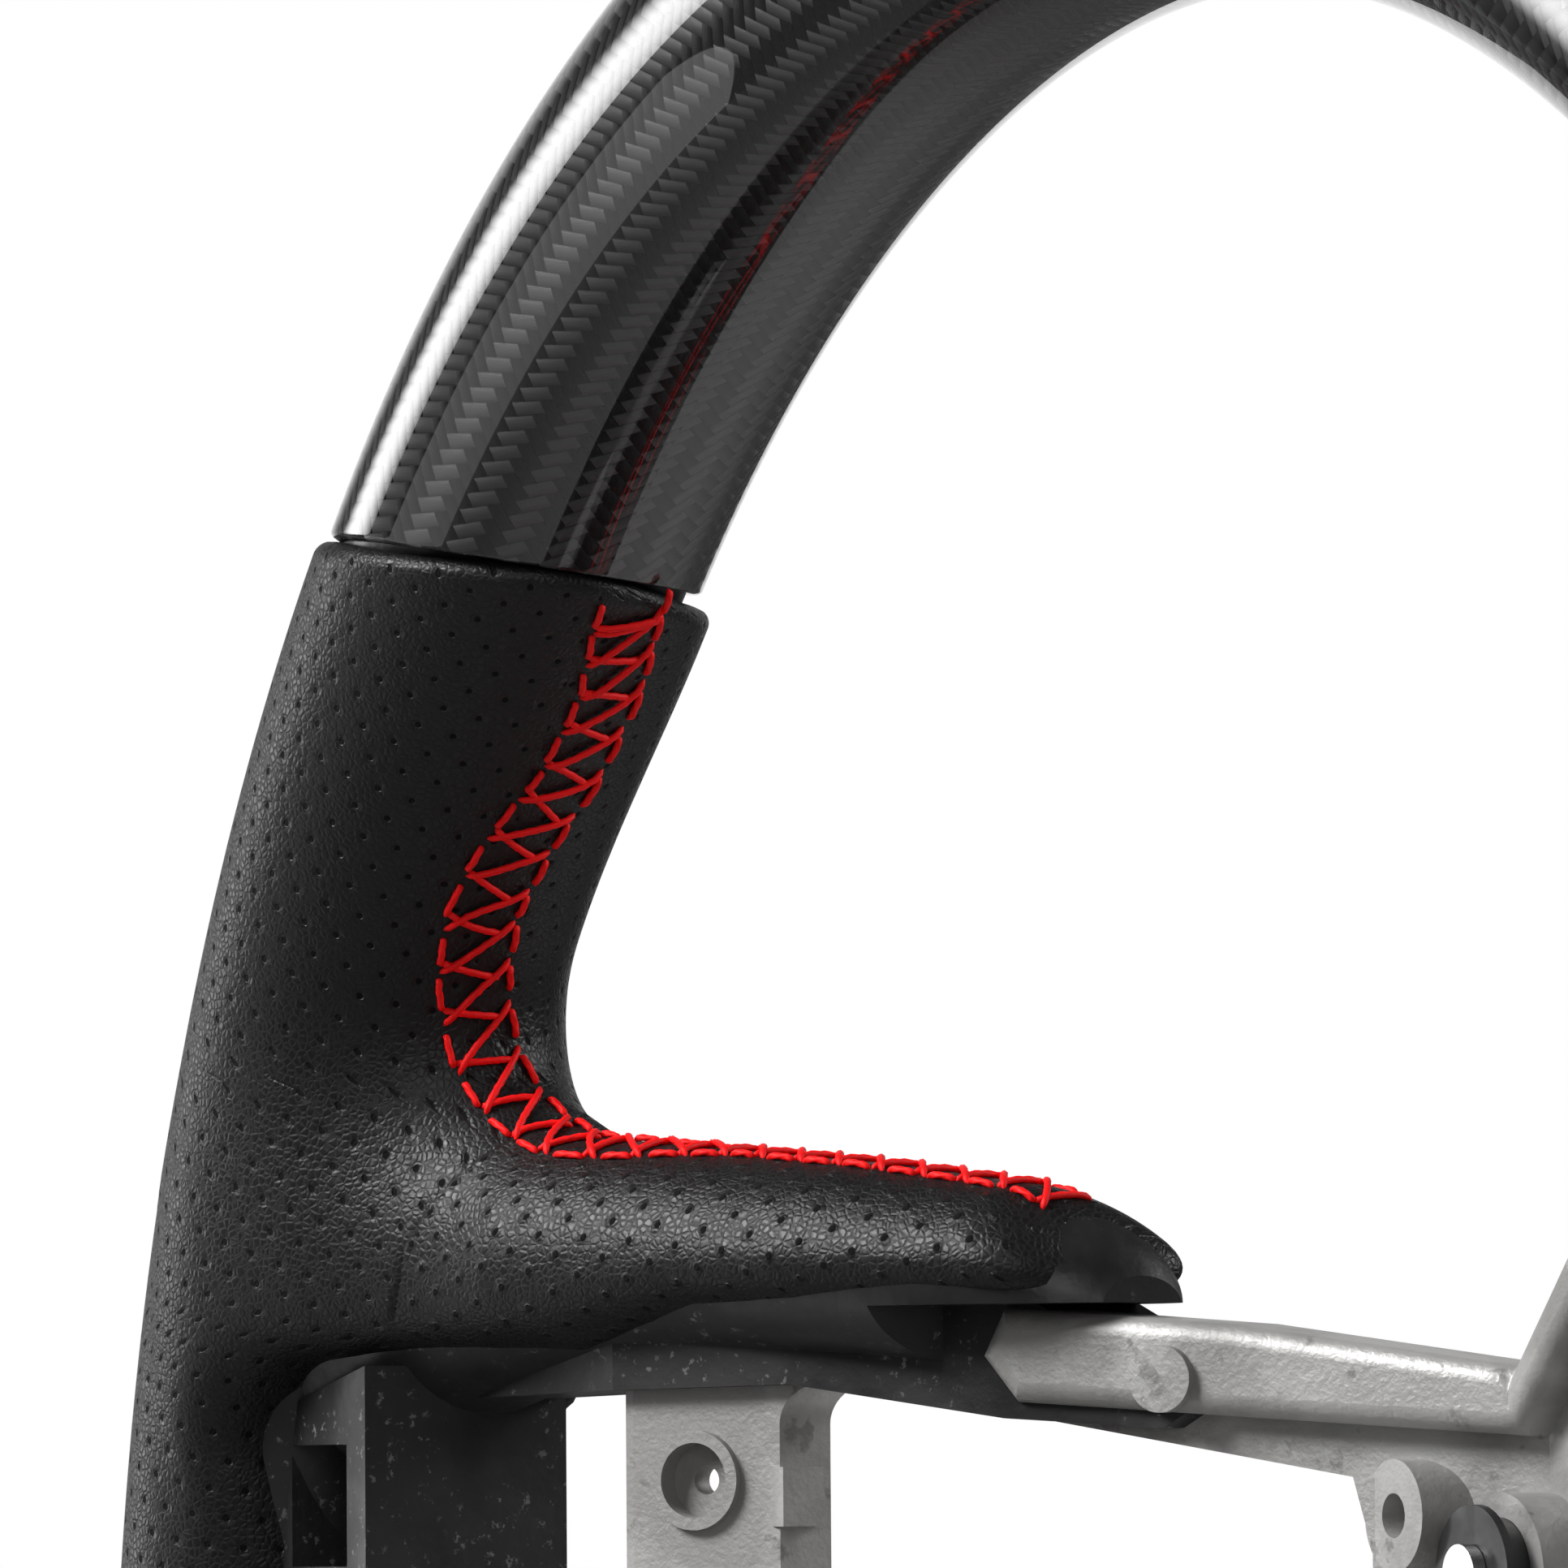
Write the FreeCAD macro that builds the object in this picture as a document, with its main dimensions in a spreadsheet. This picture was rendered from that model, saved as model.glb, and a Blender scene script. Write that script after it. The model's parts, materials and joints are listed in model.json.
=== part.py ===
import FreeCAD, Part
import Sketcher
import math
import os

# A carbon and leather road-car style steering wheel on the wheel-side half of
# a ball-lock quick release.  Lengths are millimetres.
# X is the driver's right, +Y points away from the driver and +Z is up.
# The pieces are drawn from the centre of the rim, which turns about +Y, and are
# then all moved forwards, so that the origin lies in the mouth of the socket
# where the steering column's spindle comes in.

doc = FreeCAD.newDocument("QuickReleaseSteeringWheel")
V = FreeCAD.Vector
Y_AXIS = V(0, 1, 0)
CENTRE = V(0, 0, 0)

SIZES = [
    # alias, value, what it is
    ("mouth_depth", 105.2, "rim centre to the middle of the socket's mouth, the origin"),
    ("rim_radius", 165.0, "rim centreline radius"),
    ("rim_half_radial", 14.6, "carbon tube, half width across the rim"),
    ("rim_half_axial", 17.0, "carbon tube, half depth front to back"),
    ("joint_height", 96.3, "how far the slanted leather joint stands from the middle"),
    ("leather_proud", 0.8, "how far leather stands above carbon"),
    ("leather_wall", 2.1, "leather with its padding"),
    ("joint_gap", 0.25, "half of the groove between leather and carbon"),
    ("carbon_wall_gap", 0.05, "glue line between the covers and the foam"),
    ("ring_core_radius", 5.0, "steel ring inside the rim"),
    ("dish", 57.0, "rim plane to the front face of the hub plate"),
    ("plate_thick", 7.0, "hub plate thickness"),
    ("plate_radius", 44.0, "hub plate radius"),
    ("hub_centre_hole", 11.0, "radius of the hole through the hub plate"),
    ("spoke_break_x", 111.0, "where the spoke starts to slope back"),
    ("spoke_break_y", 8.0, "front face of the spoke at that break"),
    ("bracket_inner_x", 98.5, "hub side of the upright bracket"),
    ("slab_thick", 5.0, "thickness of the casting's spokes"),
    ("arm_tall", 8.5, "height of the lower arm"),
    ("cast_corner", 3.5, "radius of the casting's window corners"),
    ("rib_round", 1.8, "rounding of the stiffening bead"),
    ("lower_arm_z", -20.0, "top of the lower arm at the bracket"),
    ("leg_half_gap", 12.0, "half of the gap between the two bottom legs"),
    ("leg_wide", 11.0, "width of a bottom leg"),
    ("guide_x", 36.5, "sideways position of the upper horn guides"),
    ("guide_z", 26.0, "height of the upper horn guides"),
    ("guide_low_z", -37.0, "height of the lower horn guide"),
    ("guide_boss_radius", 6.9, "outer radius of a guide boss"),
    ("guide_boss_tall", 4.6, "how far a guide boss stands in front of the hub plate"),
    ("guide_bore_radius", 4.8, "bore of a guide boss"),
    ("pin_radius", 1.6, "horn guide pin radius"),
    ("guide_travel", 2.0, "how far the horn guides press in"),
    ("flange_radius", 42.0, "release hub flange radius"),
    ("flange_thick", 6.0, "release hub flange thickness"),
    ("screw_circle", 35.0, "radius of the circle of six flange screws"),
    ("screw_radius", 2.5, "M5 flange screw radius"),
    ("sleeve_radius", 20.5, "release hub sleeve radius"),
    ("sleeve_length", 38.0, "release hub sleeve behind its flange"),
    ("socket_radius", 14.5, "socket bore for the spindle"),
    ("socket_floor", 5.0, "floor thickness behind the socket"),
    ("key_wide", 6.0, "width of a drive keyway"),
    ("key_deep", 2.4, "depth of a drive keyway"),
    ("ball_radius", 4.0, "locking ball radius"),
    ("ball_plane", 26.0, "ball circle behind the flange"),
    ("ball_lift", 2.1, "radial travel of a locking ball"),
    ("fit_gap", 0.05, "running clearance"),
    ("collar_length", 21.5, "release collar length"),
    ("collar_radius", 27.0, "release collar grip radius"),
    ("collar_lip_radius", 31.0, "release collar finger lip radius"),
    ("collar_travel", 6.0, "release collar stroke"),
    ("spring_wire", 1.2, "release wave spring, thickness of its flat wire"),
    ("spring_mean", 22.6, "release spring mean radius"),
    ("thread_radius", 0.33, "stitching thread radius"),
    ("stitch_pitch", 4.35, "distance from one lacing stitch to the next"),
    ("seam_half", 3.2, "half width of the laced seam"),
]

sheet = doc.addObject("Spreadsheet::Sheet", "Sizes")
for row, (alias, value, meaning) in enumerate(SIZES, start=1):
    sheet.set("A%d" % row, meaning)
    sheet.set("B%d" % row, str(value))
    sheet.setAlias("B%d" % row, alias)
doc.recompute()
size = {alias: getattr(sheet, alias) for alias, value, meaning in SIZES}

BALLS = 6
SCREWS = 6
GUIDES = {
    "left": (-size["guide_x"], size["guide_z"]),
    "right": (size["guide_x"], size["guide_z"]),
    "low": (0.0, size["guide_low_z"]),
}
flange_front = size["dish"] + size["plate_thick"]
flange_back = flange_front + size["flange_thick"]
sleeve_back = flange_back + size["sleeve_length"]
ball_y = flange_back + size["ball_plane"]
guide_front = size["dish"] - size["guide_boss_tall"]
guide_floor = guide_front + 9.0
outputs = []


def keep(obj, name):
    """Name the object, move it to the socket's frame and list it for export."""
    obj.Label = name
    to_socket = FreeCAD.Placement(V(0, -size["mouth_depth"], 0), FreeCAD.Rotation())
    obj.Placement = to_socket.multiply(obj.Placement)
    outputs.append(obj)
    return obj


def feature(name, shape):
    """Hold a finished solid, or a group of solids, as one document object."""
    holder = doc.addObject("Part::Feature", name)
    holder.Shape = shape
    return keep(holder, name)


def mirrored(shape):
    """The same solid on the other side of the wheel."""
    return shape.mirror(CENTRE, V(1, 0, 0))


def fused(shapes):
    """One solid from several that touch."""
    return shapes[0].multiFuse(shapes[1:]).removeSplitter()


def plate_from(points, lift):
    """A straight-sided block: a closed outline pushed along `lift`."""
    closed = [V(*p) for p in points]
    closed.append(closed[0])
    return Part.Face(Part.makePolygon(closed)).extrude(V(*lift))


def bar(start, end, radius):
    """A round bar between two points."""
    way = end - start
    return Part.makeCylinder(radius, way.Length, start, way)


def oval_ring(half_radial, half_axial, first, last):
    """Part of an oval-section ring; angles in degrees from the top, clockwise."""
    middle = V(0, 0, size["rim_radius"])
    oval = Part.Ellipse(middle + V(0, half_axial, 0), middle + V(0, 0, half_radial), middle)
    face = Part.Face(Part.Wire(oval.toShape()))
    face.rotate(CENTRE, Y_AXIS, first)
    return face.revolve(CENTRE, Y_AXIS, last - first)


# --- Cast armature ---------------------------------------------------------

def spoke_front(x):
    """Depth of the casting's front face at a distance x from the middle."""
    x = abs(x)
    break_x = size["spoke_break_x"]
    break_y = size["spoke_break_y"]
    hub_x = 36.0
    if x <= hub_x:
        return size["dish"]
    if x <= break_x:
        share = (break_x - x) / (break_x - hub_x)
        return break_y + share * (size["dish"] - break_y)
    share = (x - break_x) / (size["rim_radius"] - break_x)
    return break_y * (1.0 - share) - 4.0 * share


def bent_slab(front_offset, back_offset):
    """Side view of the left half of the casting, pushed through its full height."""
    stations = [-162.0, -size["spoke_break_x"], -36.0, 0.5]
    front = [(x, spoke_front(x) + front_offset, -70.0) for x in stations]
    back = [(x, spoke_front(x) + back_offset, -70.0) for x in reversed(stations)]
    return plate_from(front + back, (0, 0, 140))


def front_edges(solid, offset):
    """Outline edges of a bent slab's front face, without the crease where it bends."""
    found = []
    for edge in solid.Edges:
        ends = [vertex.Point for vertex in edge.Vertexes]
        in_front = all(abs(end.y - spoke_front(end.x) - offset) < 0.05 for end in ends)
        if in_front and abs(ends[0].x - ends[-1].x) > 0.05:
            found.append(edge)
    return found


def cast_side():
    """Left half of the casting: two arms and the upright bracket between them."""
    low = size["lower_arm_z"]
    tall = size["arm_tall"]
    outer = size["spoke_break_x"] + 1.0
    inner = size["bracket_inner_x"]
    through = (0, 170, 0)
    upper_arm = plate_from([
        (-156, -40, 54), (-120, -40, 54), (-96, -40, 50), (-60, -40, 45.5), (-30, -40, 41), (-14, -40, 41),
        (-14, -40, 28), (-50, -40, 28), (-51.5, -40, 34.3), (-76, -40, 39.4), (-inner, -40, 43.5),
        (-outer, -40, 46), (-156, -40, 46),
    ], through)
    bracket = plate_from([
        (-outer, -40, 47), (-inner, -40, 47), (-inner, -40, low - 4), (-outer, -40, low - 4),
    ], through)
    lower_arm = plate_from([
        (-160, -40, low + 1), (-outer, -40, low), (-52, -40, low + 5), (-30, -40, low + 5),
        (-36, -40, low - 6), (-inner, -40, low - tall), (-160, -40, low - tall + 1),
    ], through)
    hub_wing = plate_from([
        (-50, -40, 30), (-50, -40, -12), (-34, -40, low - 8), (0.5, -40, low - 24), (0.5, -40, 52),
        (-22, -40, 52), (-29, -40, 43),
    ], through)
    outline = fused([upper_arm, bracket, lower_arm, hub_wing])
    corners = []
    for edge in outline.Edges:
        ends = edge.BoundBox
        beside_bracket = min(abs(ends.XMin + inner), abs(ends.XMin + outer)) < 0.5
        if ends.YLength > 100.0 and beside_bracket and low - 1.0 < ends.ZMin < 46.5:
            corners.append(edge)
    outline = outline.makeFillet(size["cast_corner"], corners)
    slab = outline.common(bent_slab(0.0, size["slab_thick"]))
    lug = Part.makeBox(2.4, 4.0, 5.2, V(-inner - 1.0, spoke_front(inner) - 0.4, 30.4))
    return fused([slab, lug])


def stiffening_rib():
    """The rounded bead along the top of the left arm, turning up beside the hub."""
    proud = -4.0
    outline = plate_from([
        (-79.8, -40, 45), (-78, -40, 49.2), (-59, -40, 47.4), (-36, -40, 43.4), (-27, -40, 53),
        (-20, -40, 53), (-36, -40, 37.6), (-77, -40, 41),
    ], (0, 170, 0))
    rib = outline.common(bent_slab(proud, 2.0))
    rib = rib.makeFillet(size["rib_round"], front_edges(rib, proud))
    return fused([rib, round_on_slope(-65.1, 42.8, 2.9, proud - 0.3, proud + 1.0)])


def bottom_legs():
    """Two legs from the hub plate down to the bottom of the rim."""
    start = -28.0
    end = -size["rim_radius"] + 4.0
    gap = size["leg_half_gap"]
    wide = size["leg_wide"]
    slope = plate_from([
        (-60, size["dish"], start), (-60, size["dish"], start - 14), (-60, 9, -122), (-60, -3, end),
        (-60, 4, end), (-60, 16, -122), (-60, size["dish"] + 7, start - 14), (-60, size["dish"] + 7, start),
    ], (120, 0, 0))
    legs = []
    for side in (-1, 1):
        legs.append(plate_from([
            (side * (gap - 4), -40, start), (side * (gap + wide), -40, start),
            (side * (gap + wide), -40, end), (side * gap, -40, end),
        ], (0, 170, 0)))
    return fused(legs).common(slope)


def round_on_plate(x, z, radius, front, back):
    """A round boss, its axis front to back."""
    return Part.makeCylinder(radius, back - front, V(x, front, z), Y_AXIS)


def round_on_slope(x, z, radius, front, back):
    """A round boss square to the sloping spoke; `front` and `back` are depths from its face."""
    side = 1.0 if x > 0 else -1.0
    away = V(side * 0.547, 0.837, 0)
    return Part.makeCylinder(radius, back - front, V(x, spoke_front(x), z) + away * front, away)


def screw_circle():
    """Places of the six screws that join the hub to the casting."""
    places = []
    for index in range(SCREWS):
        angle = math.radians(30.0 + 360.0 / SCREWS * index)
        places.append((size["screw_circle"] * math.sin(angle), size["screw_circle"] * math.cos(angle)))
    return places


def armature_shape():
    """The whole casting: spokes, bracket bosses, hub plate and its holes."""
    dish = size["dish"]
    back = dish + size["plate_thick"]
    left = fused([cast_side(), stiffening_rib()])
    hub = round_on_plate(0, 0, size["plate_radius"], dish, back)
    solids = [left, mirrored(left), bottom_legs(), hub]
    holes = [round_on_plate(0, 0, size["hub_centre_hole"], dish - 5, back + 5)]
    for x, z in GUIDES.values():
        solids.append(round_on_plate(x, z, size["guide_boss_radius"], guide_front, back))
        holes.append(round_on_plate(x, z, size["guide_bore_radius"], guide_front - 9, guide_floor))
        holes.append(round_on_plate(x, z, size["pin_radius"], dish, guide_floor + 1.6))
    for side in (-1, 1):
        small_x = side * 46.7
        solids.append(round_on_plate(small_x, 31.0, 4.8, dish - 9, dish - 2))
        holes.append(round_on_plate(small_x, 31.0, 1.9, dish - 10, dish))
        bracket_x = side * 105.5
        solids.append(round_on_slope(bracket_x, 34.5, 4.4, -0.8, 3.0))
        holes.append(round_on_slope(bracket_x, 34.5, 3.3, -5.0, 1.6))
        holes.append(round_on_slope(bracket_x, 34.5, 1.25, -5.0, 15.0))
    for x, z in screw_circle():
        holes.append(round_on_plate(x, z, size["screw_radius"], dish - 1, back + 1))
    whole = fused(solids)
    for hole in holes:
        whole = whole.cut(hole)
    return whole.cut(rim_ring_shape())


def rim_ring_shape():
    """The steel ring that the casting and the foam are moulded around."""
    return Part.makeTorus(size["rim_radius"], size["ring_core_radius"], CENTRE, Y_AXIS)


# --- Foam, carbon and leather ----------------------------------------------

SLEEVE = [
    # distance left of the middle, depth, height, half depth, half height
    (154.0, 1.0, 51.0, 14.0, 22.0),
    (138.0, 3.5, 53.0, 13.5, 16.0),
    (118.0, 9.0, 53.5, 12.5, 11.5),
    (90.0, 22.0, 52.5, 11.5, 9.5),
    (71.0, 33.0, 50.5, 9.5, 7.8),
    (67.5, 35.5, 49.0, 6.0, 4.8),
]


def sleeve_loft(shrink):
    """Rounded spoke sleeve through oval stations, `shrink` mm under the leather."""
    wires = []
    for place, depth, height, half_depth, half_height in SLEEVE:
        middle = V(-place, depth, height)
        wide = V(0, half_depth - shrink, 0)
        tall = V(0, 0, half_height - shrink)
        if half_depth > half_height:
            oval = Part.Ellipse(middle + wide, middle + tall, middle)
        else:
            oval = Part.Ellipse(middle + tall, middle + wide, middle)
        wires.append(Part.Wire(oval.toShape()))
    return Part.makeLoft(wires, True, False)


def beyond_joint(side, shift):
    """Everything on one side of the slanted upper left joint; `side` is +1 above, -1 below."""
    square = V(0.146, 0.114, 0.983)
    reach = 300.0
    block = Part.makeBox(2 * reach, 2 * reach, reach, V(-reach, -reach, 0 if side > 0 else -reach))
    tilt = FreeCAD.Rotation(V(0, 0, 1), square)
    block.Placement = FreeCAD.Placement(square * (size["joint_height"] + shift), tilt)
    return block


def upside_down(shape):
    """The same solid at the bottom of the wheel."""
    return shape.mirror(CENTRE, V(0, 0, 1))


def foam_arc(first, last):
    """Foam of one stretch of the rim, before it is hollowed for the steel ring."""
    under = size["leather_proud"] - size["leather_wall"]
    return oval_ring(size["rim_half_radial"] + under, size["rim_half_axial"] + under, first, last)


def foam_left(first, last):
    """Foam of the left side: the rim, the ribbed pocket block and the spoke sleeve."""
    wall = size["leather_wall"]
    block = plate_from([
        (-158, -8, 40), (-133, -8, 45), (-133, -8, -22), (-137, -8, -30), (-158, -8, -32),
    ], (0, 20, 0))
    for low, high in ((27, 38), (9, 24), (-9, 6), (-26, -12)):
        block = block.cut(Part.makeBox(12, 15, high - low, V(-149, -14, low)))
    tongue = plate_from([
        (-134, -40, 56), (-96, -40, 54), (-76, -40, 50), (-64, -40, 42), (-63, -40, 40), (-65, -40, 38.6),
        (-78, -40, 39.6), (-96, -40, 42.8), (-134, -40, 42),
    ], (0, 170, 0)).common(bent_slab(-2.0, 8.0))
    rib_room = plate_from([(-83, -40, 49.4), (-40, -40, 49.4), (-40, -40, 30), (-83, -40, 30)], (0, 120, 0))
    return fused([foam_arc(first, last), block, sleeve_loft(wall).cut(rib_room), tongue])


def carbon_shape():
    """The upper carbon shell, cut off by the slanted joint at each end."""
    wall = size["leather_wall"] - size["leather_proud"] - size["carbon_wall_gap"]
    outside = oval_ring(size["rim_half_radial"], size["rim_half_axial"], -52, 52)
    inside = oval_ring(size["rim_half_radial"] - wall, size["rim_half_axial"] - wall, -53, 53)
    below = beyond_joint(-1, size["joint_gap"])
    return outside.cut(inside).cut(below).cut(mirrored(below))


def leather_shape():
    """Left leather wrap: round the rim between the carbon shells and along the arm."""
    proud = size["leather_proud"]
    outside = oval_ring(size["rim_half_radial"] + proud, size["rim_half_axial"] + proud, -142, -38)
    above = beyond_joint(1, -size["joint_gap"])
    outside = outside.cut(above).cut(upside_down(above))
    trim = plate_from([
        (-136, -40, 45.5), (-112, -40, 46), (-100, -40, 49.5), (-40, -40, 50), (-40, -40, 0), (-136, -40, 0),
    ], (0, 120, 0))
    opening = plate_from([(-151, -40, 40), (-130, -40, 44), (-130, -40, -31), (-151, -40, -31)], (0, 37, 0))
    return fused([outside, sleeve_loft(0.0)]).cut(foam_left(180, 360)).cut(trim).cut(opening)


# --- Seam threads ----------------------------------------------------------

RIM_STITCHES = 14
ARM_STITCHES = 13


def rim_seam_point(step, side):
    """Point on the rim's leather beside the laced seam; `side` is -1 in front, +1 behind."""
    turn = -math.radians(44.0) - step * size["stitch_pitch"] / 150.0
    across = side * size["seam_half"]
    half_radial = size["rim_half_radial"] + size["leather_proud"]
    half_axial = size["rim_half_axial"] + size["leather_proud"]
    bow = half_radial * math.sqrt(1.0 - (across / half_axial) ** 2)
    radius = size["rim_radius"] - bow - size["thread_radius"]
    return V(radius * math.sin(turn), across, radius * math.cos(turn))


def arm_seam_point(step, side):
    """The same beside the seam along the top of the left arm."""
    place = 127.0 - step * size["stitch_pitch"]
    index = 0
    while SLEEVE[index + 1][0] > place:
        index += 1
    outer = SLEEVE[index]
    inner = SLEEVE[index + 1]
    share = (outer[0] - place) / (outer[0] - inner[0])
    depth, height, half_depth, half_height = [a + share * (b - a) for a, b in zip(outer[1:], inner[1:])]
    across = side * size["seam_half"]
    rise = half_height * math.sqrt(1.0 - (across / half_depth) ** 2)
    return V(-place, depth + across, height + rise + size["thread_radius"])


def edge_stitches():
    """Short dashes along both leather edges of the seam."""
    dashes = []
    for seam, count in ((rim_seam_point, RIM_STITCHES), (arm_seam_point, ARM_STITCHES)):
        for step in range(count):
            for side in (-1, 1):
                dashes.append(bar(seam(step + 0.1, side), seam(step + 0.75, side), size["thread_radius"]))
    return Part.makeCompound(dashes)


def lacing():
    """Slanting threads crossing the seam from one edge to the other."""
    lift = 2.4 * size["thread_radius"]
    threads = []
    for step in range(RIM_STITCHES):
        front = rim_seam_point(step + 0.95, -0.86)
        back = rim_seam_point(step, 0.86)
        inward = V(-front.x, 0, -front.z).normalize() * lift
        threads.append(bar(front + inward, back + inward, size["thread_radius"]))
    for step in range(ARM_STITCHES):
        front = arm_seam_point(step + 0.95, -0.86)
        back = arm_seam_point(step, 0.86)
        threads.append(bar(front + V(0, 0, lift), back + V(0, 0, lift), size["thread_radius"]))
    return Part.makeCompound(threads)


# --- Horn guides -----------------------------------------------------------

def revolved(name, profile, centre_x, centre_z):
    """PartDesign body: a closed profile of (radius, depth) points turned about Y."""
    body = doc.addObject("PartDesign::Body", name + "_body")
    plane = [item for item in body.Origin.OriginFeatures if item.Role == "XY_Plane"][0]
    sketch = body.newObject("Sketcher::SketchObject", name + "_profile")
    sketch.AttachmentSupport = [(plane, "")]
    sketch.MapMode = "FlatFace"
    count = len(profile)
    for index in range(count):
        here = profile[index]
        there = profile[(index + 1) % count]
        sketch.addGeometry(Part.LineSegment(V(here[0], here[1], 0), V(there[0], there[1], 0)), False)
    for index in range(count):
        sketch.addConstraint(Sketcher.Constraint("Coincident", index, 2, (index + 1) % count, 1))
    turn = body.newObject("PartDesign::Revolution", name + "_turn")
    turn.Profile = sketch
    turn.ReferenceAxis = (sketch, ["V_Axis"])
    turn.Angle = 360.0
    body.Tip = turn
    body.Placement = FreeCAD.Placement(V(centre_x, 0, centre_z), FreeCAD.Rotation())
    doc.recompute()
    return body


def coil(mean_radius, wire, length, turns, centre_x, start_y, centre_z):
    """A compression spring wound about a line parallel to Y."""
    helix = Part.makeHelix(length / turns, length, mean_radius)
    circle = Part.makeCircle(wire / 2.0, V(mean_radius, 0, 0), V(0, 1, 0))
    solid = Part.Wire(helix.Edges).makePipeShell([Part.Wire(circle)], True, True)
    solid.rotate(CENTRE, V(1, 0, 0), -90)
    solid.translate(V(centre_x, start_y, centre_z))
    return solid


def guide_bush(guide_name, x, z):
    """Black collar that slides on a horn guide pin."""
    gap = size["fit_gap"]
    bore = size["guide_bore_radius"] - gap
    hole = size["pin_radius"] + gap
    head = guide_front - 2.9
    return revolved("guide_bush_" + guide_name, [
        (hole, head), (5.9, head), (5.9, head + 0.8), (bore, head + 0.8),
        (bore, head + 7.9), (3.9, head + 7.9), (3.9, head + 3.9), (hole, head + 3.9),
    ], x, z)


def horn_guides():
    """Pins, bushes and return springs of the three horn guides."""
    pins = []
    for guide_name, (x, z) in GUIDES.items():
        pin_front = guide_front - 3.0
        pins.append(fused([
            round_on_plate(x, z, size["pin_radius"], pin_front, guide_floor + 1.6),
            round_on_plate(x, z, 2.6, pin_front - 1.2, pin_front),
        ]))
        keep(guide_bush(guide_name, x, z), "guide_bush_" + guide_name)
        step_y = guide_front + 1.0
        spring = coil(2.75, 0.8, guide_floor - step_y - 1.0, 5, x, step_y + 0.5, z)
        feature("guide_spring_" + guide_name, spring)
    feature("guide_pins", Part.makeCompound(pins))


# --- Release hub -------------------------------------------------------------
# A flange against the casting and a sleeve that holds six locking balls.  The
# collar covers the balls; pulled towards the driver it lets them move outwards
# and the spindle slips free.

socket = size["socket_radius"]
sleeve = size["sleeve_radius"]
floor_y = flange_front + size["socket_floor"]
ring_y = sleeve_back - 4.0
ring_groove = sleeve - 1.1
ball_home = sleeve - size["fit_gap"] - size["ball_radius"]


def hub_solid():
    """The release hub: turned blank, then screw holes, keyways and ball seats."""
    seal_front = ball_y + 4.7
    seal_back = seal_front + 2.4
    blank = revolved("release_hub", [
        (0, flange_front), (size["flange_radius"], flange_front), (size["flange_radius"], flange_back),
        (sleeve, flange_back), (sleeve, ring_y), (ring_groove, ring_y), (ring_groove, ring_y + 1.5),
        (sleeve, ring_y + 1.5), (sleeve, sleeve_back - 0.5), (sleeve - 0.5, sleeve_back),
        (socket + 0.7, sleeve_back), (socket, sleeve_back - 0.7), (socket, seal_back), (socket + 1.2, seal_back),
        (socket + 1.2, seal_front), (socket, seal_front), (socket, floor_y), (0, floor_y),
    ], 0, 0)
    solid = blank.Shape
    for x, z in screw_circle():
        solid = solid.cut(round_on_plate(x, z, size["screw_radius"] + 0.25, flange_front - 1, flange_back + 1))
        solid = solid.cut(round_on_plate(x, z, 4.6, flange_back - 3.2, flange_back + 1))
    for index in range(3):
        keyway = Part.makeBox(
            size["key_wide"], sleeve_back - floor_y - 2.0, socket + size["key_deep"],
            V(-size["key_wide"] / 2.0, floor_y + 3.0, 0))
        keyway.rotate(CENTRE, Y_AXIS, 120.0 * index)
        solid = solid.cut(keyway)
    seat_radius = size["ball_radius"] + size["fit_gap"]
    for index in range(BALLS):
        seat = Part.makeCylinder(seat_radius, 10.0, V(0, ball_y, ball_home), V(0, 0, 1))
        seat = seat.fuse(Part.makeSphere(seat_radius, V(0, ball_y, ball_home)))
        seat.rotate(CENTRE, Y_AXIS, 30.0 + 360.0 / BALLS * index)
        solid = solid.cut(seat)
    return solid


def collar_solid():
    """The sliding collar with its ramp over the balls and its finger flutes."""
    gap = size["fit_gap"]
    ramp = size["ball_lift"] / size["collar_travel"]
    lean = math.hypot(1.0, ramp)
    ramp_start = ball_y + (sleeve + gap - ball_home - (size["ball_radius"] + gap) * lean) / ramp
    ramp_top = sleeve + gap + size["ball_lift"] + 0.1
    ramp_end = ramp_start + (ramp_top - sleeve - gap) / ramp
    back = ring_y - gap
    grip = size["collar_radius"]
    lip = size["collar_lip_radius"]
    blank = revolved("release_collar", [
        (sleeve + gap, collar_front), (25.0, collar_front), (lip, collar_front + 1.0), (lip, collar_front + 3.5),
        (grip, collar_front + 6.0), (grip, back - 1.0), (grip - 1.0, back), (ramp_top, back),
        (ramp_top, ramp_end), (sleeve + gap, ramp_start),
    ], 0, 0)
    solid = blank.Shape
    for index in range(12):
        flute = Part.makeCylinder(3.0, 30.0, V(0, collar_front - 1.0, grip + 1.6), Y_AXIS)
        flute.rotate(CENTRE, Y_AXIS, 30.0 * index)
        solid = solid.cut(flute)
    return solid


def wave_spring():
    """Flat ring turns that push the collar back over the balls."""
    count = 4
    half_band = 1.6
    step = (collar_front - flange_back - size["spring_wire"] - 0.1) / (count - 1)
    turns = []
    for index in range(count):
        front = flange_back + 0.05 + step * index
        disc = round_on_plate(0, 0, size["spring_mean"] + half_band, front, front + size["spring_wire"])
        turns.append(disc.cut(round_on_plate(0, 0, size["spring_mean"] - half_band, front - 1, front + 2)))
    return Part.makeCompound(turns)


def locking_balls():
    """Six steel balls, each resting in its seat under the collar."""
    for index in range(BALLS):
        name = "ball_%d" % (index + 1)
        ball = doc.addObject("Part::Sphere", name)
        ball.setExpression("Radius", "Sizes.ball_radius")
        angle = math.radians(30.0 + 360.0 / BALLS * index)
        place = V(ball_home * math.sin(angle), ball_y, ball_home * math.cos(angle))
        ball.Placement = FreeCAD.Placement(place, FreeCAD.Rotation())
        keep(ball, name)


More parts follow.
